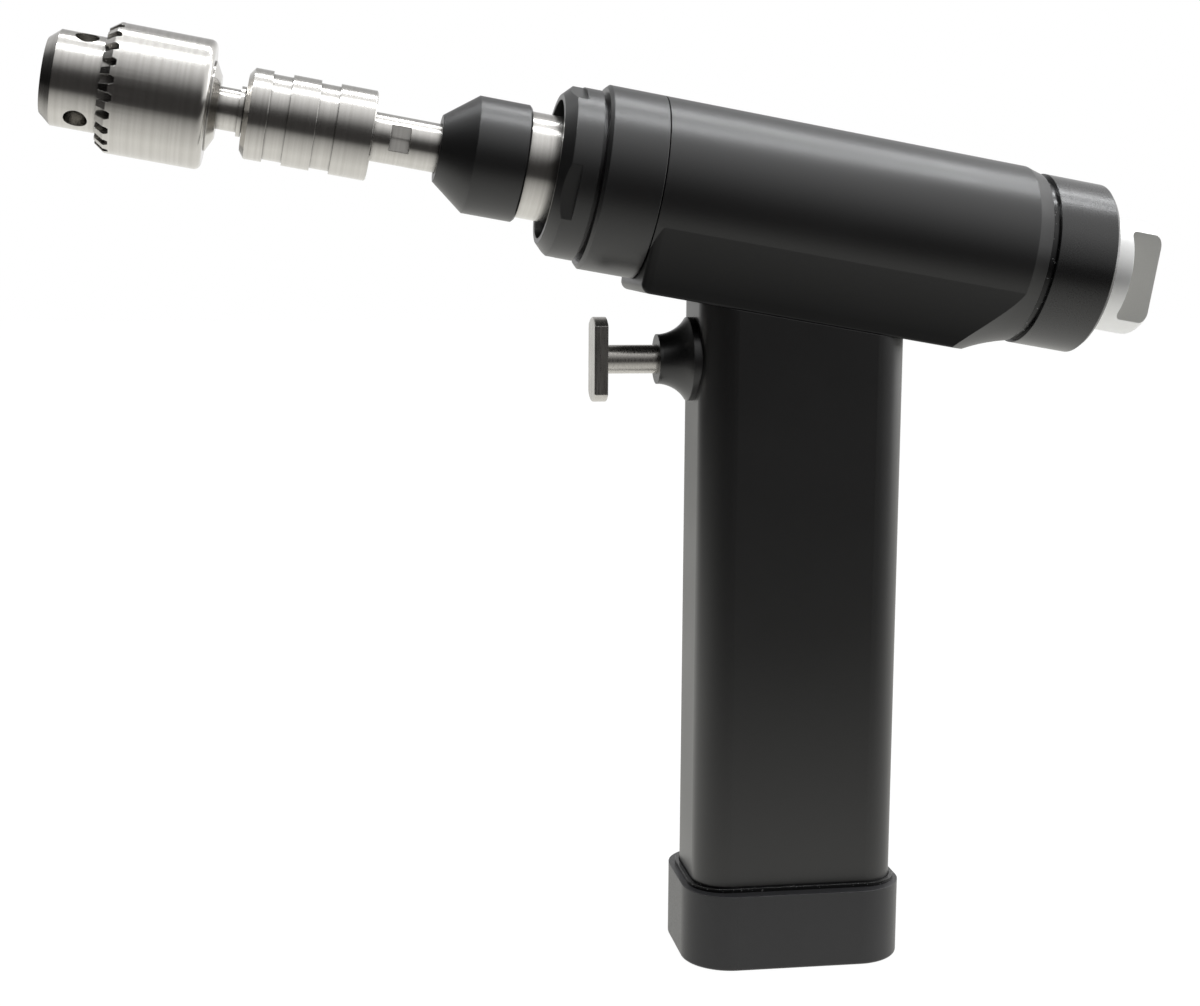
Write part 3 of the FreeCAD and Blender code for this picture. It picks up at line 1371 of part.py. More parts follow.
def make_bracket_screws():
    """Four screws through the bracket, up into the keel."""
    screws = []
    for ahead, across, radius in bracket_screw_circles("bracket_screw_radius - fit_gap"):
        screw = doc.addObject("PartDesign::Body", f"bracket_screw_{len(screws) + 1}")
        padded(screw, "stem", "XY_Plane", (), "-keel_depth - bracket_thickness",
               "bracket_thickness + bracket_screw_grip - bracket_screw_tip_gap", circles=[(ahead, across, radius)])
        padded(screw, "head", "XY_Plane", (), "-keel_depth - bracket_thickness - bracket_screw_head_height",
               "bracket_screw_head_height", circles=[(ahead, across, "bracket_screw_head_radius")])
        screws.append(screw)
    grouped("bracket_screws", screws, BARREL)


def drilled(label, blank, tools, frame=None):
    """A node cut out of a blank by tools that lie in another frame."""
    fused = doc.addObject("Part::MultiFuse", f"{label}_tools")
    fused.Shapes = tools
    if frame:
        fused.setExpression("Placement", frame)
    node = doc.addObject("Part::Cut", label)
    node.Base = blank
    node.Tool = fused
    return keep(node)


# Trigger

def make_trigger():
    trigger = new_body("trigger", TRIGGER)
    turned(trigger, "stem", [
        ("stem_end", "0"),
        ("plate_back + 1", "0"),
        ("plate_back + 1", "stem_radius"),
        ("stem_collar_front", "stem_radius"),
        ("stem_collar_front", "stem_collar_radius"),
        ("stem_collar_back", "stem_collar_radius"),
        ("stem_collar_back", "stem_tail_radius"),
        ("stem_end", "stem_tail_radius"),
    ])
    side = "trigger_width / 2"
    half = "trigger_side_height / 2"
    padded(trigger, "plate", "YZ_Plane", [
        (f"-{side}", f"-{half}", "trigger_end_radius", "right"),
        (side, f"-{half}"),
        (side, half, "trigger_end_radius", "right"),
        (f"-{side}", half),
    ], "plate_back", "plate_thickness")
    rounded(trigger, "front_edge", "trigger_edge_round", lambda edge: (
        edge.BoundBox.XLength < 0.01 and abs(edge.BoundBox.XMin - value("plate_front")) < 0.01))

    guide = new_body("trigger_guide", TRIGGER)
    turned(guide, "flare", [
        ("saddle_back", "0"),
        ("guide_front", "0"),
        ("guide_front", "guide_tip_radius"),
        ("guide_front - guide_tip_length", "guide_tip_radius", "guide_flare_radius", "left"),
        ("guide_flange_front", "guide_flange_radius"),
        ("saddle_back", "guide_flange_radius"),
    ])
    saddle = rounded_rectangle("-handle_centre", "handle_depth", "handle_width", "handle_corner")
    padded(guide, "saddle", "XY_Plane", saddle, "-2 * guide_flange_radius", "4 * guide_flange_radius", cut=True)
    turned(guide, "boss", [
        ("guide_boss_end", "0"),
        ("guide_boss_end", "guide_boss_radius"),
        ("guide_flange_front", "guide_boss_radius"),
        ("guide_flange_front", "0"),
    ])
    turned(guide, "bore", [
        ("guide_boss_end - 1", "0"),
        ("guide_boss_end - 1", "guide_bore_radius"),
        ("guide_seal_back", "guide_bore_radius"),
        ("guide_seal_back", "guide_seal_radius + fit_gap"),
        ("guide_seal_front", "guide_seal_radius + fit_gap"),
        ("guide_seal_front", "guide_bore_radius"),
        ("guide_front + 1", "guide_bore_radius"),
        ("guide_front + 1", "0"),
    ], cut=True)
    seal = new_body("trigger_seal", TRIGGER)
    turned(seal, "ring", annulus("guide_seal_back", "guide_seal_front", "guide_bore_radius", "guide_seal_radius"))
    nut = new_body("guide_nut", TRIGGER)
    turned(nut, "ring", annulus("handle_inner_face - guide_nut_width - fit_gap", "handle_inner_face - fit_gap",
                                "guide_boss_radius + fit_gap", "guide_nut_radius"))
    plain_feature("trigger_spring", coil(
        value("trigger_spring_radius"), value("trigger_spring_wire"),
        value("stem_collar_back - trigger_switch_front - 2 * spring_end_gap"), 5,
        value("trigger_switch_front + spring_end_gap")), TRIGGER)


# Electronics

def box_between(name, low, high):
    """A block between two corners given as rules."""
    block = doc.addObject("Part::Box", name)
    lengths = [f"({top}) - ({bottom})" for bottom, top in zip(low, high)]
    return in_place(block, Length=lengths[0], Width=lengths[1], Height=lengths[2],
                    along=low[0], across=low[1], up=low[2])


def upright_rod(name, across, side, bottom, radius, length):
    rod = doc.addObject("Part::Cylinder", name)
    return in_place(rod, Radius=radius, Height=length, along=across, across=side, up=bottom)


def make_electronics():
    switch = box_between("trigger_switch", ("-trigger_switch_front", "-trigger_switch_width / 2", "board_top"), (
        "trigger_switch_length - trigger_switch_front", "trigger_switch_width / 2",
        "board_top + trigger_switch_height"))
    keep(switch)
    board = new_body("control_board")
    outline = rounded_rectangle("board_centre", "board_depth", "bracket_width", "bracket_corner")
    padded(board, "outline", "XY_Plane", outline, "board_height", "board_thickness")
    pins = []
    for index in range(int(value("pin_count"))):
        side = f"({index} - (pin_count - 1) / 2) * pin_spacing"
        pins.append(upright_rod(f"contact_pin_{index + 1}", side, "0", "contact_top + pin_gap",
                                "pin_radius", "board_height - contact_top - pin_gap"))
    grouped("contact_pins", pins)
    leads = []
    for side in (1, -1):
        lead = doc.addObject("Part::Cylinder", f"motor_lead_{len(leads) + 1}")
        leads.append(in_place(lead, Radius="lead_radius", Height="lead_length", along="-lead_behind",
                              across=f"{side} * lead_spacing / 2", up="-(insert_radius + lead_length)"))
    grouped("motor_leads", leads, BARREL)


# Battery and base cap

def make_battery():
    case = new_body("battery_case")
    outline = rounded_rectangle("handle_centre", "case_depth", "case_width", "case_corner")
    padded(case, "outline", "XY_Plane", outline, "case_bottom", "cell_top - case_bottom")
    wells = [(f"handle_centre {sign} cell_spacing / 2", "0", "cell_radius + cell_gap") for sign in "+-"]
    padded(case, "wells", "XY_Plane", (), "cell_bottom", "2 * cell_length + 1", cut=True, circles=wells)
    holes = [(f"{sign}base_screw_spacing / 2", "0", "base_screw_radius + fit_gap") for sign in ("", "-")]
    padded(case, "screw_holes", "XY_Plane", (), "case_bottom - 1", "base_screw_depth + 1", cut=True, circles=holes)
    cells = []
    for sign in "+-":
        for level in range(2):
            cells.append(upright_rod(f"battery_cell_{len(cells) + 1}", f"handle_centre {sign} cell_spacing / 2", "0",
                                     f"cell_bottom + {level} * (cell_length + 0.05)", "cell_radius",
                                     "cell_length - 0.05"))
    grouped("battery_cells", cells)
    plate = new_body("contact_plate")
    outline = rounded_rectangle("handle_centre", "case_depth", "case_width", "case_corner")
    padded(plate, "outline", "XY_Plane", outline, "cell_top", "contact_plate_thickness")


def make_base():
    cap = new_body("base_cap")
    outline = rounded_rectangle("0", "base_depth", "base_width", "base_corner")
    padded(cap, "outline", "XY_Plane", outline, "0", "base_height")
    rounded(cap, "foot_edge", "base_edge_round", lambda edge: edge.BoundBox.ZMax < 0.01)
    pocket = rounded_rectangle("handle_centre", "base_pocket_depth", "base_pocket_width", "base_pocket_corner")
    padded(cap, "handle_pocket", "XY_Plane", pocket, "base_pocket_floor", "base_height", cut=True)
    well = rounded_rectangle("handle_centre", "base_well_depth", "base_well_width", "base_well_corner")
    padded(cap, "battery_well", "XY_Plane", well, "case_bottom", "base_height", cut=True)
    holes = [(f"{sign}base_screw_spacing / 2", "0") for sign in ("", "-")]
    padded(cap, "screw_holes", "XY_Plane", (), "-1", "case_bottom + 2", cut=True,
           circles=[hole + ("base_screw_radius + fit_gap",) for hole in holes])
    padded(cap, "screw_recesses", "XY_Plane", (), "-1", "1 + base_screw_recess", cut=True,
           circles=[hole + ("base_screw_head_radius + fit_gap",) for hole in holes])
    seal = new_body("base_seal")
    padded(seal, "outer", "XY_Plane", rounded_rectangle(
        "handle_centre", "seal_outer_depth", "seal_outer_width", "seal_outer_corner"),
        "base_height", "base_seal_height")
    padded(seal, "inner", "XY_Plane", rounded_rectangle(
        "handle_centre", "seal_inner_depth", "seal_inner_width", "seal_inner_corner"),
        "base_height - 1", "base_seal_height + 2", cut=True)
    screws = []
    for across, side in holes:
        screw = doc.addObject("PartDesign::Body", f"base_screw_{len(screws) + 1}")
        padded(screw, "stem", "XY_Plane", (), "base_screw_recess", "base_screw_length",
               circles=[(across, side, "base_screw_radius")])
        padded(screw, "head", "XY_Plane", (), "base_screw_recess - base_screw_head_height",
               "base_screw_head_height", circles=[(across, side, "base_screw_head_radius")])
        screws.append(screw)
    grouped("base_screws", screws)


make_body_shell()
make_nose()
make_lock_nut()
make_spindle()
make_collar()
make_adapter()
make_coupling_sleeve()
make_arbor()
make_chuck_body()
for jaw_index in range(int(value("jaw_count"))):
    make_jaw(jaw_index)
make_chuck_sleeve()
make_gearbox()
make_motor()
make_rear()
make_handle()
make_bracket_screws()
make_trigger()
make_electronics()
make_battery()
make_base()
doc.recompute()

for item in doc.Objects:
    if "Invalid" in item.State or "Error" in item.State:
        raise SystemExit(f"{item.Label} failed: {item.State}")
os.makedirs("parts", exist_ok=True)
for node in nodes:
    shape = node.Shape
    if shape.isNull() or not shape.isValid():
        raise SystemExit(f"{node.Label} has no valid shape")
    shape.exportStep(f"parts/{node.Label}.step")
    print(f"{node.Label}: {len(shape.Solids)} solids, {shape.Volume:.1f} mm3")
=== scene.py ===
import json
import math

import bpy
from mathutils import Matrix, Vector


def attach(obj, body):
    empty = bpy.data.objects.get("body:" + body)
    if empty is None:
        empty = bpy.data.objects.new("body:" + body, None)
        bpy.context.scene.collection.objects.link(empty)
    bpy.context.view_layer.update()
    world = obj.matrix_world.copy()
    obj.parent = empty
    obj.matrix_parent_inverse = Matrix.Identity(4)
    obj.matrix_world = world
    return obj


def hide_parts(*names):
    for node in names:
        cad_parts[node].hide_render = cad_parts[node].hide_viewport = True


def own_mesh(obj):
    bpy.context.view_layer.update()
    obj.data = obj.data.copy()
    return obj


# Looks of a surgical power drill: black anodised housing, turned steel chuck.
# All lengths are in metres and all angles in degrees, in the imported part's frame.
# "Ahead" is a distance forward along the barrel's axis from the handle's axis.

BARREL_TILT = 9.8
AXIS_HEIGHT = 0.1855

CAMERA_PLACE = (-0.12472, -0.47553, 0.18522)
CAMERA_AZIMUTH = -9.179
CAMERA_ELEVATION = 8.297
CAMERA_ROLL = 0.366
CAMERA_LENS = 59.24
CAMERA_SENSOR = 36.0

# The floor as the camera and as metal see it. The last two are the places, across and
# in depth, between which its reflection fades from the room's tone to its own.

STAGE_SIZE = 6.0
STAGE_COLOUR = (0.82, 0.82, 0.82)
STAGE_CAMERA_SHARE = 0.88
STAGE_GLOW = 1.1
STAGE_REFLECTED = (0.86, 0.855, 0.82)
STAGE_LEFT_FADE = (-0.85, -0.40)
STAGE_NEAR_FADE = (-0.43, 0.02)

# The room that metal reflects: dark behind the camera and on the left, pale behind the
# object. A fade is a pair of cosines to its way, and a share is the brightness there.

SKY_SHARE = 0.38
ROOM = (0.046, 0.044, 0.043)
BRIGHT_SIDE = (0.55, 0.70, 0.45)
ROOM_FADE = (-0.56, 0.08)
LEFT_FADE = (-0.80, -0.28)
LEFT_SHARE = 0.06
WALL_WAY = (0.0, 0.77, 0.64)
WALL_FADE = (0.82, 0.97)
WALL_SHARE = 0.5

# What the two tube lamps share

TUBE_COLOUR = (0.97, 0.985, 1.0)
TUBE_TARGET = (0.08, 0, 0.17)
TUBE_LENGTH = 1.3

# Colours

BLACK = (0.0055, 0.0055, 0.0058)
BLACK_EDGE = (0.045, 0.046, 0.050)
STEEL = (0.64, 0.625, 0.60)
STEEL_DARK = (0.52, 0.505, 0.48)
STEEL_EDGE = (0.85, 0.84, 0.82)
TRIGGER_STEEL = (0.60, 0.58, 0.55)
SATIN_EDGE = (0.9, 0.9, 0.88)
SILVER = (0.90, 0.90, 0.89)
SILVER_EDGE = (0.95, 0.95, 0.94)
FLAT_GREY = (0.64, 0.635, 0.60)
PLASTIC = (0.030, 0.030, 0.032)
RUBBER = (0.004, 0.004, 0.0045)
DUST = (0.30, 0.30, 0.30)

# Grain: how many cells of noise there are to a metre, and how high they stand.

CLOUD_CELLS = 18.0
BLAST_CELLS = 3000.0
BLAST_HEIGHT = 0.00004
SPARKLE_CELLS = 5200.0
RING_CELLS = 6500.0
RING_HEIGHT = 0.000004
BAND_CELLS = 900.0
SCRATCH_CELLS = 2400.0
SCRATCH_HEIGHT = 0.00003
KNOB_CELLS = 4200.0
KNOB_GRAIN_HEIGHT = 0.00002
DUST_CELLS = 1700.0
SMEAR_CELLS = 60.0
SKIN_CELLS = 900.0
SKIN_HEIGHT = 0.00003
MOULD_CLOUD_CELLS = 25.0
MOULD_HEIGHT = 0.00004

# Wear and painted shade. An edge's wear mask and the shade painted into gaps each run between two
# readings.

WORN_READINGS = (0.80, 0.99)
PAINTED_SHADE_READINGS = (0.25, 0.80)
PAINTED_SHADE_DEPTH = 0.0022
PAINTED_SHADE_DARKEST = 0.06
PAINTED_SHADE_SAMPLES = 4

# Turned steel: the lean of its grooves' way off the radius, and how far it stretches gloss.

GROOVE_LEAN = 0.05
GROOVE_STRETCH = 0.75

# Places that a finish depends on

KNOB_FLAT = 0.0091
KNOB_FLAT_MARGIN = 0.0003
KNOB_FLAT_FACING = 0.98
KEEL_TOP = 0.0092
KEEL_BOTTOM = 0.0225
KEEL_GLOSS = (0.5, 0.16)
NOTCH_AHEAD = (0.0956, 0.1004)
NOTCH_RADIUS = 0.00575
NOTCH_ROUGHNESS = 0.62

scene = bpy.context.scene
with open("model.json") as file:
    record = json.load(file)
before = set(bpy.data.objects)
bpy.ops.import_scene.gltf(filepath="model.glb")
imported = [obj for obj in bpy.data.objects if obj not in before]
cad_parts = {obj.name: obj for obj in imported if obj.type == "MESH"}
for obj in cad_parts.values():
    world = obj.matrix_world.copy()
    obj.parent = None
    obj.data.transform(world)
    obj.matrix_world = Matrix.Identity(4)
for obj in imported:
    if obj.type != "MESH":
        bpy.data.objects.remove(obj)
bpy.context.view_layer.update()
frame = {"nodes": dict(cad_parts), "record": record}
nodes = frame["nodes"]

tilt = math.radians(BARREL_TILT)
FORWARD = Vector((-math.cos(tilt), 0, math.sin(tilt)))
UPWARD = Vector((math.sin(tilt), 0, math.cos(tilt)))
BARREL_ORIGIN = Vector((0, 0, AXIS_HEIGHT))


# Camera

def make_camera():
    azimuth = math.radians(CAMERA_AZIMUTH)
    elevation = math.radians(CAMERA_ELEVATION)
    roll = math.radians(CAMERA_ROLL)
    back = Vector((math.sin(azimuth) * math.cos(elevation), -math.cos(azimuth) * math.cos(elevation),
                   math.sin(elevation)))
    level = Vector((math.cos(azimuth), math.sin(azimuth), 0))
    upright = back.cross(level)
    right = math.cos(roll) * level + math.sin(roll) * upright
    up = -math.sin(roll) * level + math.cos(roll) * upright
    data = bpy.data.cameras.new("camera")
    data.lens = CAMERA_LENS
    data.sensor_width = CAMERA_SENSOR
    data.clip_start = 0.01
    data.clip_end = 20
    camera = bpy.data.objects.new("camera", data)
    camera.matrix_world = Matrix((
        (right.x, up.x, back.x, CAMERA_PLACE[0]),
        (right.y, up.y, back.y, CAMERA_PLACE[1]),
        (right.z, up.z, back.z, CAMERA_PLACE[2]),
        (0, 0, 0, 1),
    ))
    scene.collection.objects.link(camera)
    scene.camera = camera


# Materials

class Nodes:
    """A material being wired: nodes are added and joined by name."""

    def __init__(self, name):
        self.material = bpy.data.materials.new(name)
        self.material.use_nodes = True
        self.tree = self.material.node_tree
        self.shader = self.tree.nodes["Principled BSDF"]

    def add(self, kind, **inputs):
        node = self.tree.nodes.new("ShaderNode" + kind)
        for key, item in inputs.items():
            if hasattr(node, key):
                setattr(node, key, item)
            else:
                self.feed(node.inputs[key.replace("_", " ")], item)
        return node

    def feed(self, socket, item):
        if isinstance(item, bpy.types.NodeSocket):
            self.tree.links.new(item, socket)
        elif isinstance(item, (tuple, list)) and len(item) == 3 and len(socket.default_value) == 4:
            socket.default_value = (*item, 1)
        else:
            socket.default_value = item

    def set(self, **inputs):
        for key, item in inputs.items():
            self.feed(self.shader.inputs[key.replace("_", " ")], item)

    def place(self):
        return self.add("TexCoord").outputs["Object"]

    def math(self, operation, first, second=0.0):
        node = self.add("Math", operation=operation)
        self.feed(node.inputs[0], first)
        self.feed(node.inputs[1], second)
        return node.outputs[0]

    def dot(self, first, second):
        node = self.add("VectorMath", operation="DOT_PRODUCT")
        self.feed(node.inputs[0], first)
        self.feed(node.inputs[1], second)
        return node.outputs["Value"]

    def between(self, value, low, high, start=0.0, end=1.0):
        node = self.add("MapRange", clamp=True)
        for socket, item in zip(node.inputs, (value, start, end, low, high)):
            self.feed(socket, item)
        return node.outputs[0]

    def noise(self, scale, detail=3.0, place=None, stretch=None, dimensions="3D"):
        node = self.add("TexNoise", noise_dimensions=dimensions)
        if dimensions == "1D":
            self.feed(node.inputs["W"], place)
        else:
            place = place or self.place()
            if stretch:
                place = self.add("Mapping", Vector=place, Scale=stretch).outputs[0]
            self.feed(node.inputs["Vector"], place)
        node.inputs["Scale"].default_value = scale
        node.inputs["Detail"].default_value = detail
        return node.outputs[0]

    def blend(self, share, first, second):
        node = self.add("Mix", data_type="RGBA")
        self.feed(node.inputs["Factor"], share)
        self.feed(node.inputs["A"], first)
        self.feed(node.inputs["B"], second)
        return node.outputs["Result"]

    def edges(self, width):
        """A mask that is 1 on worn edges, from a rounded normal."""
        rounded = self.add("Bevel", samples=4, Radius=width).outputs[0]
        plain = self.add("NewGeometry").outputs["Normal"]
        return self.between(self.dot(rounded, plain), 1.0, 0.0, *WORN_READINGS)

    def painted_shade(self, depth, darkest):
        """Painted shade: a factor that is 1 on open faces and falls in holes, gaps and corners, where
        it darkens the colour.
        """
        opening = self.add("AmbientOcclusion", samples=PAINTED_SHADE_SAMPLES, Distance=depth).outputs["AO"]
        return self.between(opening, darkest, 1.0, *PAINTED_SHADE_READINGS)

    def dimmed(self, colour, factor):
        return self.add("VectorMath", operation="SCALE", Vector=colour, Scale=factor).outputs[0]

    def bump(self, height, strength, distance, width=None):
        inputs = {"Height": height, "Strength": strength, "Distance": distance}
        if width:
            inputs["Normal"] = self.add("Bevel", samples=4, Radius=width).outputs[0]
        self.set(Normal=self.add("Bump", **inputs).outputs[0])


def along_barrel(m):
    return m.dot(m.place(), tuple(FORWARD))


def from_barrel(m):
    """The place on a surface, counted from the barrel's origin."""
    place = m.add("VectorMath", operation="SUBTRACT", Vector=m.place()).outputs[0]
    place.node.inputs[1].default_value = BARREL_ORIGIN
    return place


def across_grooves(m):
    """The way that turned steel's tangent takes: out from the barrel's axis, and a little
    ahead so that end faces and round faces both have one."""
    place = from_barrel(m)
    ahead = m.dot(place, tuple(FORWARD))
    along = m.add("VectorMath", operation="SCALE", Vector=tuple(FORWARD), Scale=ahead).outputs[0]
    outward = m.add("VectorMath", operation="SUBTRACT", Vector=place).outputs[0]
    m.feed(outward.node.inputs[1], along)
    out = m.add("VectorMath", operation="NORMALIZE", Vector=outward).outputs[0]
    slant = m.add("VectorMath", operation="ADD", Vector=out).outputs[0]
    slant.node.inputs[1].default_value = GROOVE_LEAN * FORWARD
    return slant


def anodised(name, colour, edge_colour, roughness, edge=0.0003, level=None):
    """Satin anodised light metal: fine blasted grain and lighter edges."""
    m = Nodes(name)
    worn = m.edges(edge)
    cloud = m.noise(CLOUD_CELLS, 4.0)
    grain = m.noise(SPARKLE_CELLS, 2.0)
    base = m.blend(m.between(cloud, 0.0, 1.0, 0.35, 0.65), colour, tuple(1.25 * c for c in colour))
    m.set(Base_Color=m.blend(m.math("MULTIPLY", worn, 0.5), base, edge_colour), Metallic=0.0, IOR=1.72,
          Roughness=m.between(m.math("ADD", cloud, m.math("MULTIPLY", grain, 0.5)), roughness - 0.05,
                              roughness + 0.06, 0.4, 1.1))
    if level:
        m.set(Specular_IOR_Level=level(m))
    m.bump(m.noise(BLAST_CELLS, 2.0), 0.20, BLAST_HEIGHT, edge)
    return m.material


def keel_level(m):
    """The sides under the barrel shine less towards their lower edge."""
    return m.between(m.dot(from_barrel(m), tuple(-UPWARD)), *KEEL_GLOSS, KEEL_TOP, KEEL_BOTTOM)


def turned_metal(name, colour, dark, roughness, ring=0.03, edge=0.0002, ground=None):
    """Turned steel: fine rings about the barrel's axis."""
    m = Nodes(name)
    ahead = along_barrel(m)
    wide = m.noise(BAND_CELLS, 2.0, ahead, dimensions="1D")
    fine = m.noise(RING_CELLS, 3.0, ahead, dimensions="1D")
    worn = m.edges(edge)
    tone = m.blend(m.between(wide, 0.0, 0.45, 0.35, 0.7), colour, dark)
    bright = m.blend(m.math("MULTIPLY", worn, 0.4), tone, STEEL_EDGE)
    rough = m.between(fine, roughness - 0.02, roughness + 0.02, 0.3, 0.7)
    if ground:
        rough = m.math("MAXIMUM", rough, m.math("MULTIPLY", ground(m, ahead), NOTCH_ROUGHNESS))
    # The base colour is darkened by painted shade in gaps, holes and corners.
    m.set(Base_Color=m.dimmed(bright, m.painted_shade(PAINTED_SHADE_DEPTH, PAINTED_SHADE_DARKEST)), Metallic=1.0,
          Roughness=rough, Anisotropic=GROOVE_STRETCH, Tangent=across_grooves(m))
    m.bump(fine, ring, RING_HEIGHT, edge)
    return m.material


def notch_mask(m, ahead):
    """1 on the three ground notches of the shank."""
    behind = m.math("GREATER_THAN", ahead, NOTCH_AHEAD[0] + AXIS_HEIGHT * FORWARD.z)
    before = m.math("LESS_THAN", ahead, NOTCH_AHEAD[1] + AXIS_HEIGHT * FORWARD.z)
    away = m.add("VectorMath", operation="CROSS_PRODUCT", Vector=from_barrel(m)).outputs[0]
    away.node.inputs[1].default_value = FORWARD
    radius = m.add("VectorMath", operation="LENGTH", Vector=away).outputs["Value"]
    inside = m.math("LESS_THAN", radius, NOTCH_RADIUS)
    return m.math("MULTIPLY", m.math("MULTIPLY", behind, before), inside)


def satin_metal(name, colour, roughness, stretch=(1, 1, 1), edge=0.00025, scratches=0.12):
    """Brushed or blasted metal with its scratches along one way."""
    m = Nodes(name)
    scratch = m.noise(SCRATCH_CELLS, 3.0, stretch=stretch)
    worn = m.edges(edge)
    streaked = m.blend(m.between(scratch, 0.0, 0.4, 0.35, 0.65), colour, tuple(0.8 * c for c in colour))
    m.set(Base_Color=m.blend(m.math("MULTIPLY", worn, 0.5), streaked, SATIN_EDGE), Metallic=1.0,
          Roughness=m.between(scratch, roughness - 0.05, roughness + 0.08, 0.3, 0.7))
    m.bump(scratch, scratches, SCRATCH_HEIGHT, edge)
    return m.material


def knob_silver(name, colour, flat_colour):
    """Pale satin metal, with the two gripping flats left blasted and greyer."""
    m = Nodes(name)
    grain = m.noise(KNOB_CELLS, 3.0)
    side = m.math("ABSOLUTE", m.dot(m.add("TexCoord").outputs["Normal"], (0, 1, 0)))
    deep = m.math("ABSOLUTE", m.dot(m.place(), (0, 1, 0)))
    faces_side = m.math("GREATER_THAN", side, KNOB_FLAT_FACING)
    lies_deep = m.math("LESS_THAN", deep, KNOB_FLAT + KNOB_FLAT_MARGIN)
    on_flat = m.math("MULTIPLY", faces_side, lies_deep)
    worn = m.edges(0.0003)
    tone = m.blend(on_flat, colour, m.blend(m.between(grain, 0.0, 0.5), flat_colour,
                                            tuple(0.7 * c for c in flat_colour)))
    m.set(Base_Color=m.blend(m.math("MULTIPLY", worn, 0.6), tone, SILVER_EDGE),
          Metallic=m.between(on_flat, 0.55, 0.25), Roughness=m.between(on_flat, 0.38, 0.62))
    m.bump(grain, 0.06, KNOB_GRAIN_HEIGHT, 0.0003)
    return m.material


def rubber(name, colour):
    """Smooth black rubber with a little dust."""
    m = Nodes(name)
    dust = m.between(m.noise(DUST_CELLS, 1.0), 0.0, 1.0, 0.70, 0.74)
    m.set(Base_Color=m.blend(dust, colour, DUST), IOR=1.52,
          Roughness=m.between(m.noise(SMEAR_CELLS, 2.0), 0.16, 0.26, 0.3, 0.7))
    m.bump(m.noise(SKIN_CELLS, 2.0), 0.04, SKIN_HEIGHT, 0.0003)
    return m.material


def moulded(name, colour, roughness, grain_scale=3800.0, grain=0.25, edge=0.0004):
    """Moulded plastic, wrap or board with a fine texture."""
    m = Nodes(name)
    texture = m.noise(grain_scale, 2.0)
    cloud = m.noise(MOULD_CLOUD_CELLS, 3.0)
    worn = m.edges(edge)
    clouded = m.blend(cloud, colour, tuple(1.3 * c for c in colour))
    paler = tuple(min(1, 3.5 * c) for c in colour)
    m.set(Base_Color=m.blend(m.math("MULTIPLY", worn, 0.4), clouded, paler),
          Roughness=m.between(texture, roughness - 0.05, roughness + 0.06, 0.3, 0.7))
    m.bump(texture, grain, MOULD_HEIGHT, edge)
    return m.material


MATERIALS = {
    "anodised_black": anodised("anodised_black", BLACK, BLACK_EDGE, 0.34),
    "anodised_body": anodised("anodised_body", BLACK, BLACK_EDGE, 0.34, level=keel_level),
    "anodised_cap": anodised("anodised_cap", BLACK, BLACK_EDGE, 0.27),
    "turned_steel": turned_metal("turned_steel", STEEL, STEEL_DARK, 0.24),
    "notched_steel": turned_metal("notched_steel", STEEL, STEEL_DARK, 0.24, ground=notch_mask),
    "knob_silver": knob_silver("knob_silver", SILVER, FLAT_GREY),
    "trigger_steel": satin_metal("trigger_steel", TRIGGER_STEEL, 0.27, (1, 1, 0.05), scratches=0.03),
    "bearing_steel": satin_metal("bearing_steel", (0.72, 0.72, 0.72), 0.18),
    "spring_steel": satin_metal("spring_steel", (0.62, 0.62, 0.61), 0.25),
    "gear_steel": satin_metal("gear_steel", (0.5, 0.5, 0.5), 0.3),
    "motor_steel": satin_metal("motor_steel", (0.55, 0.55, 0.57), 0.35),
    "light_alloy": satin_metal("light_alloy", (0.75, 0.75, 0.76), 0.35),
    "magnet_ferrite": moulded("magnet_ferrite", (0.05, 0.05, 0.055), 0.6),
    "contact_brass": satin_metal("contact_brass", (0.80, 0.60, 0.28), 0.25),
    "black_rubber": rubber("black_rubber", RUBBER),
    "cap_plastic": moulded("cap_plastic", PLASTIC, 0.36, 2600.0, 0.20),
    "case_plastic": moulded("case_plastic", (0.03, 0.03, 0.032), 0.5),
    "switch_plastic": moulded("switch_plastic", (0.02, 0.02, 0.022), 0.4),
    "cell_wrap": moulded("cell_wrap", (0.03, 0.12, 0.30), 0.25, 900.0, 0.05),
    "board_green": moulded("board_green", (0.02, 0.14, 0.05), 0.3, 1800.0, 0.15),
    "lead_sleeve": moulded("lead_sleeve", (0.35, 0.02, 0.015), 0.4),
}

# Nodes whose finish here is finer than the material slot that the record gives them

FINISHES = {
    "body_shell": "anodised_body",
    "rear_cap": "anodised_cap",
    "adapter_shank": "notched_steel",
    "trigger": "trigger_steel",
}


def dress_nodes():
    """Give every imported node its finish."""
    slots = {part["node"]: part["material_slot"] for part in frame["record"]["subparts"]}
    for name, node in nodes.items():
        node.data.materials.clear()
        node.data.materials.append(MATERIALS[FINISHES.get(name, slots[name])])


# Springs

SPRINGS = {
    "collar_spring": ("release_collar_slide", "spindle", -FORWARD),
    "coupling_spring": ("coupling_sleeve_slide", "spindle", -FORWARD),
    "trigger_spring": ("trigger_press", "frame", Vector((1, 0, 0))),
}


def make_springs():
    """Coils copied from the springs' meshes and fixed to the bodies that carry them; the springs' own
    parts are hidden.
    """
    for name, (joint, body, way) in SPRINGS.items():
        node = nodes[name]
        coil = bpy.data.objects.new(name + "_coil", node.data.copy())
        coil.matrix_world = node.matrix_world.copy()
        scene.collection.objects.link(coil)
        places = [(coil.matrix_world @ point.co).dot(way) for point in coil.data.vertices]
        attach(coil, body)
        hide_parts(name)
        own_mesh(coil)


# Lights and stage

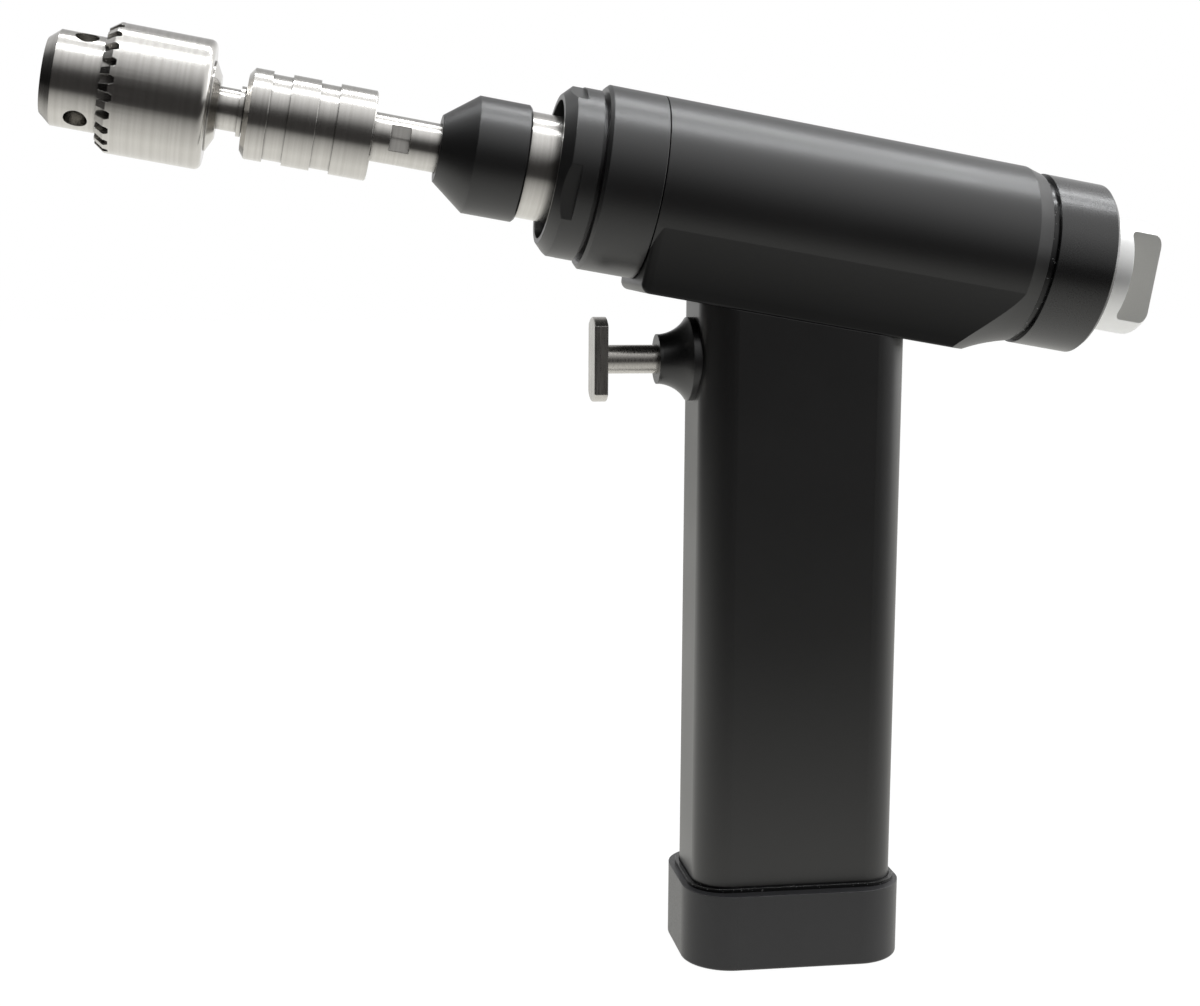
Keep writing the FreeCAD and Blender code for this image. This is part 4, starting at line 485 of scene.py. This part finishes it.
def make_floor():
    """A white floor that shows as near white to the camera and keeps a soft shadow."""
    mesh = bpy.data.meshes.new("floor")
    half = STAGE_SIZE / 2
    corners = [(-half, -half, 0), (half, -half, 0), (half, half, 0), (-half, half, 0)]
    mesh.from_pydata(corners, [], [(0, 1, 2, 3)])
    floor = bpy.data.objects.new("floor", mesh)
    scene.collection.objects.link(floor)
    m = Nodes("floor_white")
    m.set(Base_Color=STAGE_COLOUR, Roughness=0.9)
    path = m.add("LightPath")
    glossy = path.outputs["Is Glossy Ray"]
    straight = m.math("MAXIMUM", path.outputs["Is Camera Ray"], path.outputs["Is Transmission Ray"])
    wide, deep = m.add("SeparateXYZ", Vector=m.place()).outputs[:2]
    far = m.between(deep, 0.0, 1.0, *STAGE_NEAR_FADE)
    right = m.between(wide, 0.0, 1.0, *STAGE_LEFT_FADE)
    reflected = m.blend(m.math("MULTIPLY", far, right), ROOM, STAGE_REFLECTED)
    shown = m.blend(glossy, (1, 1, 1), reflected)
    glow = m.add("Emission", Color=shown, Strength=STAGE_GLOW)
    mixed = m.add("MixShader")
    m.feed(mixed.inputs[0], m.math("MAXIMUM", m.math("MULTIPLY", straight, STAGE_CAMERA_SHARE), glossy))
    m.feed(mixed.inputs[1], m.shader.outputs[0])
    m.feed(mixed.inputs[2], glow.outputs[0])
    m.feed(m.tree.nodes["Material Output"].inputs[0], mixed.outputs[0])
    mesh.materials.append(m.material)


def make_world():
    """White to the camera. Metal sees a white backdrop and a dim room behind the camera
    and on the left, and the light that the world gives is a soft grey."""
    world = bpy.data.worlds.new("studio")
    scene.world = world
    world.use_nodes = True
    m = Nodes.__new__(Nodes)
    m.tree = world.node_tree
    way = m.add("TexCoord").outputs["Generated"]
    room = m.blend(m.between(m.dot(way, BRIGHT_SIDE), 0.0, 1.0, *ROOM_FADE), ROOM, (1, 1, 1))
    left = m.between(m.dot(way, (1, 0, 0)), LEFT_SHARE, 1.0, *LEFT_FADE)
    wall = m.between(m.dot(way, WALL_WAY), 1.0, WALL_SHARE, *WALL_FADE)
    path = m.add("LightPath")
    lit = m.add("VectorMath", operation="SCALE", Vector=room, Scale=SKY_SHARE).outputs[0]
    shade = m.math("MULTIPLY", wall, left)
    mirrored = m.add("VectorMath", operation="SCALE", Vector=room, Scale=shade).outputs[0]
    reflected = m.blend(path.outputs["Is Glossy Ray"], lit, mirrored)
    seen = m.math("MAXIMUM", path.outputs["Is Camera Ray"], path.outputs["Is Transmission Ray"])
    m.feed(world.node_tree.nodes["Background"].inputs["Color"], m.blend(seen, reflected, (1, 1, 1)))


def make_lamp(name, place, target, width, height, power, colour=(1, 1, 1)):
    """A rectangular lamp that faces its target."""
    data = bpy.data.lights.new(name, "AREA")
    data.shape = "RECTANGLE"
    data.size = width
    data.size_y = height
    data.energy = power
    data.color = colour
    lamp = bpy.data.objects.new(name, data)
    lamp.location = place
    lamp.rotation_mode = "QUATERNION"
    lamp.rotation_quaternion = (Vector(target) - Vector(place)).to_track_quat("-Z", "Y")
    scene.collection.objects.link(lamp)


make_camera()
dress_nodes()
make_springs()
make_floor()
make_world()
make_lamp("tube_front", (0.12, -0.14, 1.15), TUBE_TARGET, TUBE_LENGTH, 0.08, 4.8, TUBE_COLOUR)
make_lamp("tube_back", (0.12, 0.36, 1.1), TUBE_TARGET, TUBE_LENGTH, 0.09, 4.6, TUBE_COLOUR)
make_lamp("softbox_right", (1.15, 0.25, 0.5), (0.0, 0, 0.15), 0.9, 0.9, 4.0)

scene.view_settings.view_transform = "Standard"
